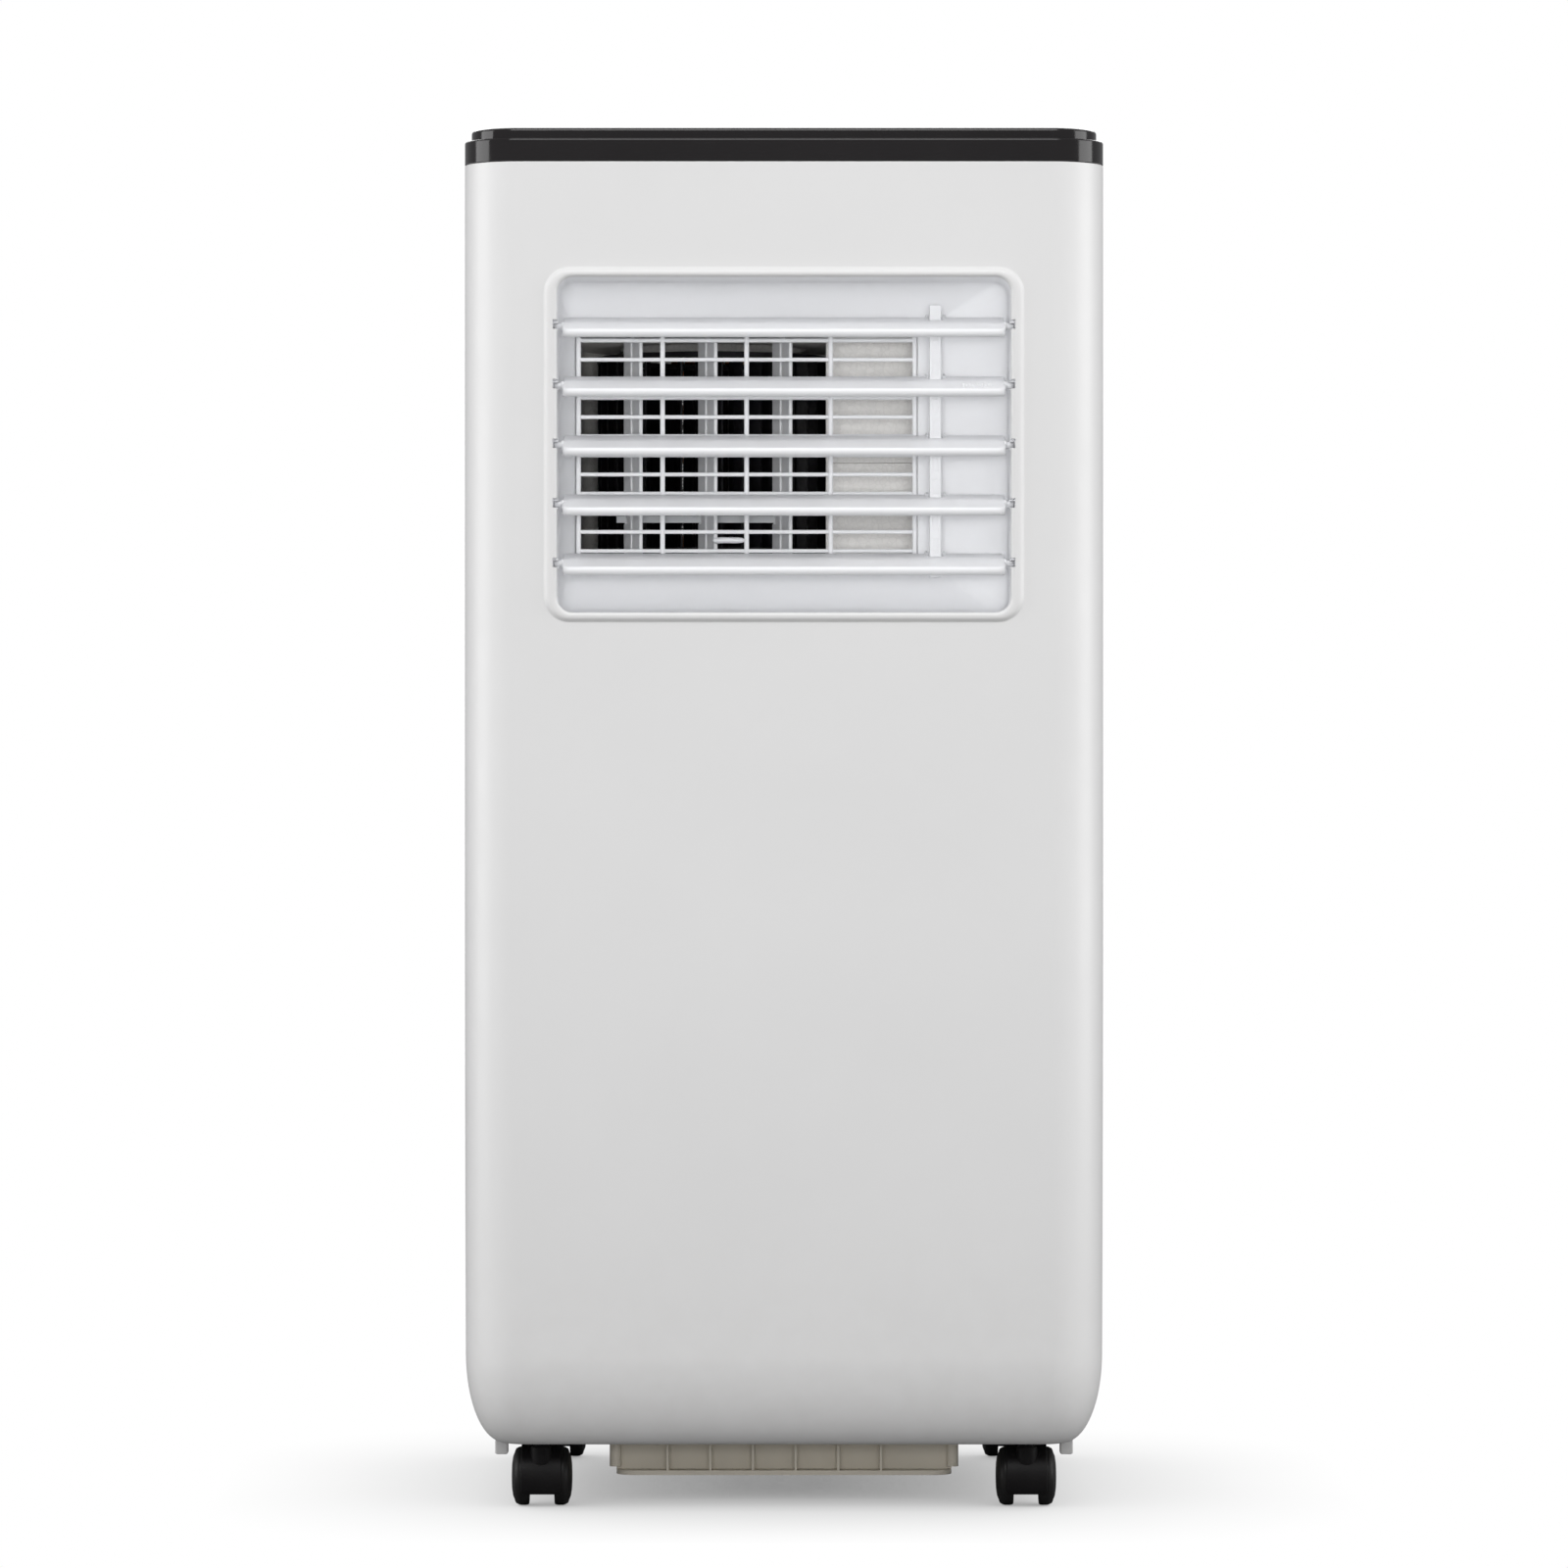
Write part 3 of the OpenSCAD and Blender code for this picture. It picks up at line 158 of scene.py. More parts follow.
def raw(name, parts):
    verts, faces = [], []
    for v, f in parts:
        faces += [tuple(i + len(verts) for i in face) for face in f]
        verts += v
    me = bpy.data.meshes.new(name)
    me.from_pydata(verts, [], faces)
    bm = bmesh.new()
    bm.from_mesh(me)
    bmesh.ops.recalc_face_normals(bm, faces=bm.faces)
    bm.to_mesh(me)
    bm.free()
    obj = bpy.data.objects.new(name, me)
    bpy.context.scene.collection.objects.link(obj)
    return obj


def join(obj, parts):
    """Adds the closed parts to obj's mesh as they are."""
    helper = raw("helper", parts)
    bm = bmesh.new()
    bm.from_mesh(obj.data)
    bm.from_mesh(helper.data)
    bm.to_mesh(obj.data)
    bm.free()
    bpy.data.objects.remove(helper)


def cut(obj, parts):
    """Cuts the closed parts out of obj, exactly, and keeps the result."""
    tool = raw("tool", parts)
    mod = obj.modifiers.new("cut", "BOOLEAN")
    mod.operation, mod.solver, mod.object = "DIFFERENCE", "EXACT", tool
    bpy.context.view_layer.update()
    me = bpy.data.meshes.new_from_object(obj.evaluated_get(bpy.context.evaluated_depsgraph_get()))
    obj.modifiers.clear()
    obj.data = me
    bpy.data.objects.remove(tool)


def crease(obj, limit=32):
    """Smooth shading, with edges sharper than limit degrees kept sharp."""
    bm = bmesh.new()
    bm.from_mesh(obj.data)
    bmesh.ops.dissolve_degenerate(bm, dist=1e-7, edges=bm.edges)
    for f in bm.faces:
        f.smooth = True
    for e in bm.edges:
        e.smooth = e.calc_face_angle(0) < math.radians(limit)
    bm.to_mesh(obj.data)
    bm.free()


def finish_piece(obj, body, slot, nodes=(), bevel=0.0, limit=32):
    crease(obj, limit)
    if bevel:
        mod = obj.modifiers.new("edge", "BEVEL")
        mod.width, mod.segments, mod.limit_method = bevel, 2, "ANGLE"
        mod.angle_limit = math.radians(40)
    mod = obj.modifiers.new("normals", "WEIGHTED_NORMAL")
    mod.keep_sharp = True
    obj.data.materials.clear()
    obj.data.materials.append(MATS[slot])
    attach(obj, body)
    if nodes:
        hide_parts(*nodes)
    return obj


def piece(name, parts, body, slot, nodes=(), bevel=0.0, limit=32):
    return finish_piece(raw(name, parts), body, slot, nodes, bevel, limit)


# ---------------------------------------------------------------- materials
class Graph:
    """A material's node tree, with the object's own coordinates in metres."""

    def __init__(self, name):
        self.mat = bpy.data.materials.new(name)
        self.mat.use_nodes = True
        self.tree = self.mat.node_tree
        self.bsdf = self.tree.nodes["Principled BSDF"]
        self.co = self.node("ShaderNodeTexCoord").outputs["Object"]

    def node(self, kind, **props):
        n = self.tree.nodes.new(kind)
        for k, v in props.items():
            setattr(n, k, v)
        return n

    def link(self, a, b):
        self.tree.links.new(a, b)

    def stretch(self, x, y, z):
        n = self.node("ShaderNodeMapping")
        n.inputs["Scale"].default_value = (x, y, z)
        self.link(self.co, n.inputs["Vector"])
        return n.outputs["Vector"]

    def noise(self, scale, detail=3.0, rough=0.5, vector=None):
        n = self.node("ShaderNodeTexNoise")
        n.inputs["Scale"].default_value = scale
        n.inputs["Detail"].default_value = detail
        n.inputs["Roughness"].default_value = rough
        self.link(vector or self.co, n.inputs["Vector"])
        return n.outputs["Fac"]

    def voronoi(self, scale, feature="F1", out="Distance"):
        n = self.node("ShaderNodeTexVoronoi", feature=feature)
        n.inputs["Scale"].default_value = scale
        self.link(self.co, n.inputs["Vector"])
        return n.outputs[out]

    def ranged(self, fac, a, b, lo, hi):
        n = self.node("ShaderNodeMapRange")
        for key, v in zip(("From Min", "From Max", "To Min", "To Max"), (a, b, lo, hi)):
            n.inputs[key].default_value = v
        self.link(fac, n.inputs["Value"])
        return n.outputs["Result"]

    def math(self, op, a, b):
        n = self.node("ShaderNodeMath", operation=op)
        for i, v in enumerate((a, b)):
            if isinstance(v, (int, float)):
                n.inputs[i].default_value = v
            else:
                self.link(v, n.inputs[i])
        return n.outputs[0]

    def mixed(self, fac, a, b):
        """Colour between a and b."""
        n = self.node("ShaderNodeMix", data_type="RGBA")
        self.link(fac, n.inputs["Factor"])
        for key, v in (("A", a), ("B", b)):
            socket = [i for i in n.inputs if i.name == key and i.type == "RGBA"][0]
            if isinstance(v, (tuple, list)):
                socket.default_value = (*v, 1)
            else:
                self.link(v, socket)
        return [o for o in n.outputs if o.type == "RGBA"][0]

    def bumps(self, *layers):
        """Layers of (height, depth in metres)."""
        last = None
        for height, depth in layers:
            n = self.node("ShaderNodeBump")
            n.inputs["Strength"].default_value = 1.0
            n.inputs["Distance"].default_value = depth
            self.link(height, n.inputs["Height"])
            if last:
                self.link(last, n.inputs["Normal"])
            last = n.outputs["Normal"]
        self.link(last, self.bsdf.inputs["Normal"])

    def colour(self, out):
        self.link(out, self.bsdf.inputs["Base Color"])

    def rough(self, out):
        self.link(out, self.bsdf.inputs["Roughness"])

    def set(self, **values):
        for k, v in values.items():
            self.bsdf.inputs[k.replace("_", " ")].default_value = v

    def height(self):
        n = self.node("ShaderNodeSeparateXYZ")
        self.link(self.co, n.inputs[0])
        return n.outputs["Z"]


DUST_TOP, DUST_FULL, DUST_RGB = 0.16, 0.03, (0.42, 0.39, 0.35)


def shade(rgb, k):
    return tuple(min(1.0, c * k) for c in rgb)


def plastic(name, rgb, rough, grain=0.00002, size=1400, mottle=0.03, spread=0.06, scuff=0.0, dust=0.0,
            **sockets):
    """Moulded plastic: fine grain, slow colour drift, uneven sheen, faint scuffs and dust low down."""
    g = Graph(name)
    drift = g.noise(14, 4)
    base = g.mixed(g.ranged(drift, 0.3, 0.7, 0, 1), shade(rgb, 1 - mottle), shade(rgb, 1 + mottle / 2))
    if dust:
        rise = g.ranged(g.height(), DUST_TOP, DUST_FULL, 0, dust)
        low = g.math("MULTIPLY", rise, g.ranged(g.noise(90, 5), 0.35, 0.65, 0.4, 1))
        base = g.mixed(low, base, DUST_RGB)
    sheen = g.ranged(g.noise(55, 5), 0.3, 0.7, rough - spread, rough + spread)
    if scuff:
        marks = g.ranged(g.noise(26, 6, 0.6, g.stretch(9, 1, 3)), 0.66, 0.74, 0, scuff)
        base = g.mixed(marks, base, shade(rgb, 1.25))
        sheen = g.math("ADD", sheen, g.math("MULTIPLY", marks, 0.6))
    g.colour(base)
    g.rough(sheen)
    g.bumps((g.noise(60, 3), grain * 1.5), (g.noise(size, 2), grain))
    g.set(**sockets)
    return g.mat


def metal(name, rgb, rough, lines=900, grain=0.00001, stretch=(1, 1, 12), tint=None, **sockets):
    """Drawn or rolled metal: fine lines one way, cloudy oxide and uneven polish."""
    g = Graph(name)
    drawn = g.noise(lines, 2, 0.5, g.stretch(*stretch))
    cloud = g.ranged(g.noise(35, 5), 0.35, 0.7, 0, 0.6)
    g.colour(g.mixed(cloud, rgb, tint or shade(rgb, 0.72)))
    polish = g.ranged(drawn, 0.3, 0.7, rough - 0.06, rough + 0.08)
    g.rough(g.math("ADD", polish, g.math("MULTIPLY", cloud, 0.12)))
    g.bumps((drawn, grain))
    g.set(Metallic=1.0, **sockets)
    return g.mat


BEADS = 330


def foam_material(rgb):
    """Expanded polystyrene: packed beads a few millimetres across with dark joints."""
    g = Graph("eps_foam")
    joint = g.voronoi(BEADS, "DISTANCE_TO_EDGE")
    tone = g.voronoi(BEADS, "F1", "Color")
    sep = g.node("ShaderNodeSeparateColor")
    g.link(tone, sep.inputs[0])
    beads = g.mixed(g.ranged(sep.outputs[0], 0, 1, 0, 1), shade(rgb, 0.975), shade(rgb, 1.02))
    g.colour(g.mixed(g.ranged(joint, 0.0, 0.1, 0.16, 0), beads, shade(rgb, 0.6)))
    g.rough(g.ranged(g.noise(200), 0.3, 0.7, 0.62, 0.82))
    g.bumps((g.ranged(joint, 0, 0.3, 0, 1), 0.00012), (g.noise(900), 0.00005))
    g.set(Specular_IOR_Level=0.3)
    return g.mat


def board_material():
    g = Graph("circuit_board")
    tracks = g.ranged(g.voronoi(260, "DISTANCE_TO_EDGE"), 0.03, 0.06, 1, 0)
    g.colour(g.mixed(tracks, (0.012, 0.09, 0.035), (0.03, 0.17, 0.06)))
    g.rough(g.ranged(g.noise(300), 0.3, 0.7, 0.25, 0.4))
    g.bumps((tracks, 0.00003))
    return g.mat


def net_material():
    g = Graph("filter_net")
    g.colour(g.mixed(g.noise(800, 3), (0.02, 0.021, 0.024), (0.05, 0.05, 0.055)))
    g.rough(g.ranged(g.noise(500), 0.3, 0.7, 0.55, 0.75))
    g.bumps((g.noise(3000, 2), 0.00003))
    return g.mat


MATS = {
    "shell": plastic("satin_white_shell", (0.765, 0.763, 0.76), 0.36, 0.000012, 1800, 0.012, 0.05, dust=0.10,
                     Specular_IOR_Level=0.45),
    "black_trim": plastic("gloss_black_trim", (0.011, 0.0095, 0.010), 0.13, 0.000004, 700, 0.1, 0.05, 0.05,
                          Specular_IOR_Level=0.5),
    "fascia": plastic("gloss_black_fascia", (0.006, 0.006, 0.006), 0.1, 0.000003, 700, 0.1, 0.04, 0.05),
    "display": plastic("smoked_window", (0.008, 0.011, 0.014), 0.06, 0.000002, 600, 0.1, 0.03,
                       Coat_Weight=0.6, Coat_Roughness=0.05),
    "board": board_material(),
    "button": plastic("button_cap", (0.52, 0.52, 0.525), 0.34, 0.00001, 1600, 0.03, 0.06, 0.08),
    # outlet parts: white plastic whose base colour is set whiter than the shell's; the extra whiteness is
    # painted light that brightens the recessed outlet
    "outlet_white": plastic("outlet_plastic", (0.875, 0.88, 0.895), 0.34, 0.00001, 1500, 0.015, 0.05,
                            Specular_IOR_Level=0.45),
    "link_clear": plastic("translucent_link", (0.70, 0.72, 0.745), 0.22, 0.000008, 900, 0.03, 0.05,
                          Transmission_Weight=0.35),
    "foam": foam_material((0.90, 0.885, 0.86)),
    "rotor_black": plastic("rotor_black", (0.012, 0.0115, 0.013), 0.36, 0.00001, 1200, 0.15, 0.08, 0.04),
    "rotor_grey": plastic("rotor_grey", (0.42, 0.42, 0.42), 0.4, 0.00001, 1200, 0.05, 0.06),
    "motor": metal("zinc_motor", (0.42, 0.43, 0.45), 0.42),
    "fins": metal("aluminium_fin", (0.78, 0.79, 0.80), 0.34, 700),
    "copper": metal("copper_tube", (0.78, 0.40, 0.25), 0.27, 600, tint=(0.45, 0.2, 0.12)),
    "deck": plastic("deck_plastic", (0.56, 0.56, 0.56), 0.42, 0.00002, 1300, 0.03),
    "grille": plastic("grille_plastic", (0.76, 0.76, 0.758), 0.38, 0.000014, 1600, 0.02, 0.05, dust=0.06),
    "filter": net_material(),
    "compressor_black": plastic("compressor_paint", (0.013, 0.013, 0.014), 0.3, 0.00003, 500, 0.2, 0.08, 0.1),
    "rubber": plastic("moulded_rubber", (0.018, 0.018, 0.018), 0.62, 0.00003, 1100, 0.2, 0.08, 0.08),
    "duct": plastic("duct_plastic", (0.6, 0.6, 0.57), 0.45, 0.00002, 1200, 0.03),
    "steel_sheet": metal("galvanised_sheet", (0.62, 0.63, 0.64), 0.36, 500, stretch=(1, 1, 3)),
    "screw": metal("zinc_screw", (0.66, 0.66, 0.68), 0.28, 1500),
    "pan": plastic("base_plastic", (0.5, 0.5, 0.49), 0.44, 0.00002, 1200, 0.04, dust=0.2),
    "tray": plastic("beige_tray", (0.70, 0.65, 0.55), 0.4, 0.000015, 1200, 0.04, 0.06, dust=0.1),
    "caster_black": plastic("caster_nylon", (0.005, 0.0045, 0.005), 0.5, 0.00002, 1300, 0.2, 0.08, 0.03,
                            dust=0.006, Specular_IOR_Level=0.15),
    "tread": plastic("caster_tread", (0.008, 0.0078, 0.008), 0.45, 0.00003, 1100, 0.2, 0.08, 0.06,
                     dust=0.01, Specular_IOR_Level=0.2),
}
SLOTS = {row["node"]: row["material_slot"] for row in frame["record"]["subparts"]}
for node_name, node in NODES.items():
    node.data.materials.clear()
    node.data.materials.append(MATS[SLOTS[node_name]])

# CAD nodes whose shape stays: their edges are softened where light would catch them
SOFT_EDGES = {
    "intake_grille_upper": 0.0004, "intake_grille_lower": 0.0004, "drain_tray": 0.0006, "base_pan": 0.0005,
    "handle_cups": 0.0006, "cord_gland": 0.0005, "exhaust_collar": 0.0006, "control_fascia": 0.0004,
    "display_window": 0.0002, "drain_bung": 0.0004, "vane_link": 0.0003, "mid_deck": 0.0004,
    "air_filter": 0.0002,
}
for node_name, width in SOFT_EDGES.items():
    weld = NODES[node_name].modifiers.new("weld", "WELD")
    weld.merge_threshold = 1e-6
    edge = NODES[node_name].modifiers.new("edge", "BEVEL")
    edge.width, edge.segments, edge.limit_method = width, 2, "ANGLE"
    edge.angle_limit = math.radians(50)
    edge.harden_normals = True

# ---------------------------------------------------------------- casing shells
rim_lo, rim_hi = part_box("top_rim")
HALF_W, HALF_D = rim_hi.x, rim_hi.y
panel_lo, panel_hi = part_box("front_panel")
TOP_Z = panel_hi.z
SKIRT_Z = 33 * MM
WALL = 2.6 * MM
CORNER_R = 28 * MM
LEAN, LEAN_H = 14 * MM, 290 * MM
CHIN, CHIN_H = 20 * MM, 50 * MM
TUCK, TUCK_H = 20 * MM, 46 * MM
LOW_CORNER = 14 * MM
SEAM = 0.2 * MM
PLAIN_Z = [0.42, 0.56]
LIP, LIP_SHRINK = 0.6 * MM, 0.9985


def tuck(z, h, d):
    s = max(0.0, 1 - (z - SKIRT_Z) / h)
    return d * (1 - math.sqrt(max(0.0, 1 - s * s)))


def front_inset(z):
    return LEAN * max(0.0, 1 - (z - SKIRT_Z) / LEAN_H) ** 2 + tuck(z, CHIN_H, CHIN)


def side_inset(z):
    return tuck(z, TUCK_H, TUCK)


def half_ring(z, g, rear, seg=14):
    """One level of half a shell, from the right side seam round to the left one, set in by g."""
    x = HALF_W - side_inset(z) - g
    y = (HALF_D - side_inset(z) if rear else HALF_D - front_inset(z)) - g
    low = max(0.0, 1 - (z - SKIRT_Z) / CHIN_H)
    r = CORNER_R - LOW_CORNER * low * low - g
    pts = []
    for d, s in ((SEAM, 0.5), (SEAM + 0.25 * MM, 0.15), (SEAM + 0.8 * MM, 0)):
        pts.append((x - (s * MM if g == 0 else 0), d, z))
    for i in range(1, 6):
        pts.append((x, (y - r) * i / 6, z))
    for i in range(seg + 1):
        a = math.radians(90 * i / seg)
        pts.append((x - r + r * math.cos(a), y - r + r * math.sin(a), z))
    half = pts + [(-p[0], p[1], z) for p in reversed(pts)]
    return half if rear else [(px, -py, pz) for px, py, pz in half]


def shell(rear):
    zs = [SKIRT_Z + CHIN_H * (1 - math.cos(math.radians(i * 4.5))) for i in range(20)]
    zs += [SKIRT_Z + CHIN_H + i * (LEAN_H - CHIN_H) / 12 for i in range(1, 13)]
    zs += PLAIN_Z + [TOP_Z - LIP]
    outer = [half_ring(z, 0.0, rear) for z in zs]
    outer.append([(x * LIP_SHRINK, y * LIP_SHRINK, TOP_Z) for x, y, _ in half_ring(TOP_Z, 0.0, rear)])
    inner = [half_ring(z, WALL, rear) for z in zs] + [half_ring(TOP_Z, WALL, rear)]
    rings = outer + inner[::-1]
    n, m = len(rings[0]), len(rings)
    verts = [p for ring in rings for p in ring]
    faces = []
    for i in range(m):
        a, b = i * n, (i + 1) % m * n
        faces += [(a + j, a + j + 1, b + j + 1, b + j) for j in range(n - 1)]
    k = len(outer)
    for j in (0, n - 1):
        for i in range(k - 1):
            faces.append((i * n + j, (i + 1) * n + j, (m - 2 - i) * n + j, (m - 1 - i) * n + j))
    return verts, faces


frame_lo, frame_hi, frame_mid = middle("outlet_frame")
MOUTH_Z = frame_mid.z
MOUTH_W, MOUTH_H, MOUTH_R = 230 * MM, 170 * MM, 8 * MM
BEAD = 2 * MM
FRONT_Y, REAR_Y = -HALF_D, HALF_D
OUT, IN = 10 * MM, 20 * MM

front = raw("front_shell", [shell(False)])
opening = outline(MOUTH_W + 8 * MM, MOUTH_H + 6 * MM, 10 * MM)
cut(front, [prism_y(opening, FRONT_Y - OUT, FRONT_Y + IN, 0, MOUTH_Z)])
LUG_X, LUG_HALF = 146.2 * MM, 3.3 * MM
LUG_Y, LUG_Z = (-95.9 * MM, -87.1 * MM), (24.1 * MM, 36 * MM)
lugs = []
for s in (-1, 1):
    lugs.append(block(s * LUG_X - LUG_HALF, s * LUG_X + LUG_HALF, *LUG_Y, *LUG_Z, 0.8 * MM))
piece("skirt_lugs", lugs, "casing", "shell")
finish_piece(front, "casing", "shell", ["front_panel"], limit=38)

rear = raw("rear_shell", [shell(True)])
tools = []
for leaf in ("intake_grille_upper", "intake_grille_lower"):
    lo, hi, mid = middle(leaf)
    leaf_ring = outline(hi.x - lo.x + 0.6 * MM, hi.z - lo.z + 0.6 * MM, 8 * MM)
    tools.append(prism_y(leaf_ring, REAR_Y - IN, REAR_Y + OUT, 0, mid.z))
ROUND_HOLES = (("exhaust_collar", 68.3 * MM, 96, IN), ("cord_gland", 7.3 * MM, 40, IN),
               ("drain_bung", 14 * MM, 48, 2 * IN))
for node_name, r, n, deep in ROUND_HOLES:
    _, _, mid = middle(node_name)
    tools.append(prism_y(circle(r, n), REAR_Y - deep, REAR_Y + OUT, mid.x, mid.z))
_, _, mid = middle("handle_cups")
CUP_W, CUP_H, CUP_R = 100 * MM, 38 * MM, 12 * MM
for x0, x1 in ((-HALF_W - OUT, -HALF_W + IN), (HALF_W - IN, HALF_W + OUT)):
    tools.append(prism_x(outline(CUP_W, CUP_H, CUP_R), x0, x1, mid.y, mid.z))
lo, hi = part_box("casing_screws")
SCREW_HEAD, SCREW_HOLE = 3.6 * MM, 2 * MM
SCREW_X = hi.x - SCREW_HEAD
SCREW_Z = (lo.z + SCREW_HEAD, 434 * MM, hi.z - SCREW_HEAD)
for s in (-1, 1):
    for z in SCREW_Z:
        tools.append(prism_y(circle(SCREW_HOLE, 20), REAR_Y - IN, REAR_Y + OUT, s * SCREW_X, z))
cut(rear, tools)
finish_piece(rear, "casing", "shell", ["rear_panel"], limit=38)


# ---------------------------------------------------------------- rim and lid
def plan_ring(w, d, r, z, seg=16):
    return [(x, y, z) for x, y in outline(w, d, max(r, 0.5 * MM), seg)]


def rounded_slab(w, d, r, z0, z1, soft, steps=5):
    """Levels of a slab whose upper edge is rounded by soft."""
    rings = [plan_ring(w, d, r, z0)]
    for i in range(steps + 1):
        a = math.radians(90 * i / steps)
        s = soft * (1 - math.cos(a))
        rings.append(plan_ring(w - 2 * s, d - 2 * s, r - s, z1 - soft + soft * math.sin(a)))
    return rings


W, D = 2 * HALF_W, 2 * HALF_D
RIM_TOP = rim_hi.z
LID_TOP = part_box("top_lid")[1].z
RIM_FOOT, RIM_LAND, RIM_SKIRT = TOP_Z + 0.15 * MM, RIM_TOP - 9 * MM, TOP_Z - 8 * MM
rings = [plan_ring(W - 0.8 * MM, D - 0.8 * MM, CORNER_R, RIM_FOOT)]
rings += rounded_slab(W, D, CORNER_R, TOP_Z + 0.5 * MM, RIM_TOP, 1.1 * MM)
# inside the rim: its opening, the land below and the skirt in the shells, as inset, corner, two levels
for inset, corner, z0, z1 in ((30, 14, RIM_TOP, RIM_LAND), (9.8, 23.1, RIM_LAND, RIM_SKIRT),
                              (5.8, 25.1, RIM_SKIRT, RIM_FOOT)):
    rings += [plan_ring(W - inset * MM, D - inset * MM, corner * MM, z) for z in (z0, z1)]
piece("top_rim_gloss", [loft(rings, loop=True)], "casing", "black_trim", ["top_rim"])

fas_lo, fas_hi, fas_mid = middle("control_fascia")
FAS_W, FAS_D = fas_hi.x - fas_lo.x, fas_hi.y - fas_lo.y
FAS_Y = fas_mid.y
LID_IN, LID_R, LID_SOFT = 7 * MM, 24.5 * MM, 1.6 * MM
lid = raw("top_lid_gloss", [loft(rounded_slab(W - LID_IN, D - LID_IN, LID_R, RIM_TOP, LID_TOP, LID_SOFT, 6))])
deep = [(x, FAS_Y + y) for x, y in outline(FAS_W + 0.4 * MM, FAS_D + 0.4 * MM, 6 * MM)]
thin = [(x, FAS_Y + y) for x, y in outline(FAS_W - 6 * MM, FAS_D - 6 * MM, 4 * MM)]
seat = LID_TOP - 3.4 * MM
cut(lid, [loft([[(x, y, z) for x, y in thin] for z in (RIM_TOP - 0.01, seat + 1 * MM)])])
cut(lid, [loft([[(x, y, z) for x, y in deep] for z in (seat, LID_TOP + 0.01)])])
finish_piece(lid, "casing", "black_trim", ["top_lid"])

# ---------------------------------------------------------------- push buttons
CAP_R, FLANGE, STEM_R, AXIS_R = 7.6 * MM, 1.3 * MM, 2 * MM, 0.5 * MM
for name in ("power", "mode", "speed", "up", "down"):
    node_name = "button_" + name
    lo, hi, mid = middle(node_name)
    top, r = hi.z, CAP_R
    base_z = RIM_TOP + 0.7 * MM
    cap = [(AXIS_R, top - 0.5 * MM), (r * 0.55, top - 0.42 * MM), (r * 0.8, top - 0.2 * MM),
           (r - 0.9 * MM, top), (r - 0.35 * MM, top - 0.1 * MM), (r, top - 0.5 * MM),
           (r, base_z + 1.6 * MM), (r + FLANGE, base_z + 1.5 * MM), (r + FLANGE, base_z),
           (STEM_R, base_z), (STEM_R, lo.z), (AXIS_R, lo.z)]
    turned_cap = moved(lathe(cap, 40), at(mid.x, mid.y, 0))
    piece("button_cap_" + name, [turned_cap], node_name, "button", [node_name])


# ---------------------------------------------------------------- outlet: tub with its bead
def mouth_ring(w, h, r, y, x=0.0, z=MOUTH_Z):
    return [(x + a, y, z + b) for a, b in outline(w, h, r, 10)]


def blend_rings(a, b, t, y):
    return [(p[0] + (q[0] - p[0]) * t, y, p[2] + (q[2] - p[2]) * t) for p, q in zip(a, b)]


grille_lo, grille_hi, grille_mid = middle("outlet_grille")
DUCT_Y = grille_lo.y
DUCT_X, DUCT_Z = grille_mid.x, grille_mid.z
DUCT_W, DUCT_H = grille_hi.x - grille_lo.x + 0.6 * MM, grille_hi.z - grille_lo.z + 0.6 * MM
VANE_BOX_Y = frame_hi.y
inner = mouth_ring(MOUTH_W, MOUTH_H, MOUTH_R, 0)
outer = mouth_ring(MOUTH_W + 14 * MM, MOUTH_H + 10 * MM, 13 * MM, 0)
duct = mouth_ring(DUCT_W, DUCT_H, 0.6 * MM, 0, DUCT_X, DUCT_Z)
FACE = FRONT_Y - BEAD
BEAD_PROFILE = ((0.0, 5.0), (0.0, 1.9), (0.03, 1.15), (0.1, 0.5), (0.2, 0.12), (0.32, 0.0), (0.5, 0.06),
                (0.64, 0.3), (0.76, 0.8), (0.86, 1.4), (0.93, 1.78), (0.97, 1.9), (1.0, 1.95))
rings = [blend_rings(inner, outer, t, FACE + d * MM) for t, d in reversed(BEAD_PROFILE)]
rings += [blend_rings(inner, outer, t, FACE + d * MM) for t, d in ((0.38, 5.0), (0.4, 2.6), (0.96, 2.4))]
bead_piece = raw("outlet_bead", [loft(rings, loop=True)])
rings = [blend_rings(inner, outer, t, FACE + d * MM) for t, d in ((0.36, 5.05), (0.0, 5.05))]
STRAIGHT_Y = FRONT_Y + 34 * MM
rings.append(blend_rings(inner, duct, 0, STRAIGHT_Y))
for i in range(1, 9):
    u = i / 8
    rings.append(blend_rings(inner, duct, u ** 1.6, STRAIGHT_Y + u * (DUCT_Y - 1 * MM - STRAIGHT_Y)))
rings.append(blend_rings(duct, duct, 0, VANE_BOX_Y))
duct_out = mouth_ring(DUCT_W + 6 * MM, DUCT_H + 6 * MM, 2 * MM, 0, DUCT_X, DUCT_Z)
tub_out = mouth_ring(MOUTH_W + 6 * MM, MOUTH_H + 6 * MM, 10 * MM, 0)
rings.append(blend_rings(duct_out, duct_out, 0, VANE_BOX_Y))
rings.append(blend_rings(duct_out, duct_out, 0, DUCT_Y))
rings.append(blend_rings(tub_out, tub_out, 0, FRONT_Y + 38 * MM))
rings.append(blend_rings(tub_out, tub_out, 0, FACE + 5.2 * MM))
outlet = raw("outlet_tub", [loft(rings, loop=True)])

LOUVER_Y = pivot("louver_1_tilt")[1]
LOUVER_Z = [pivot("louver_%d_tilt" % i)[2] for i in range(1, 6)]
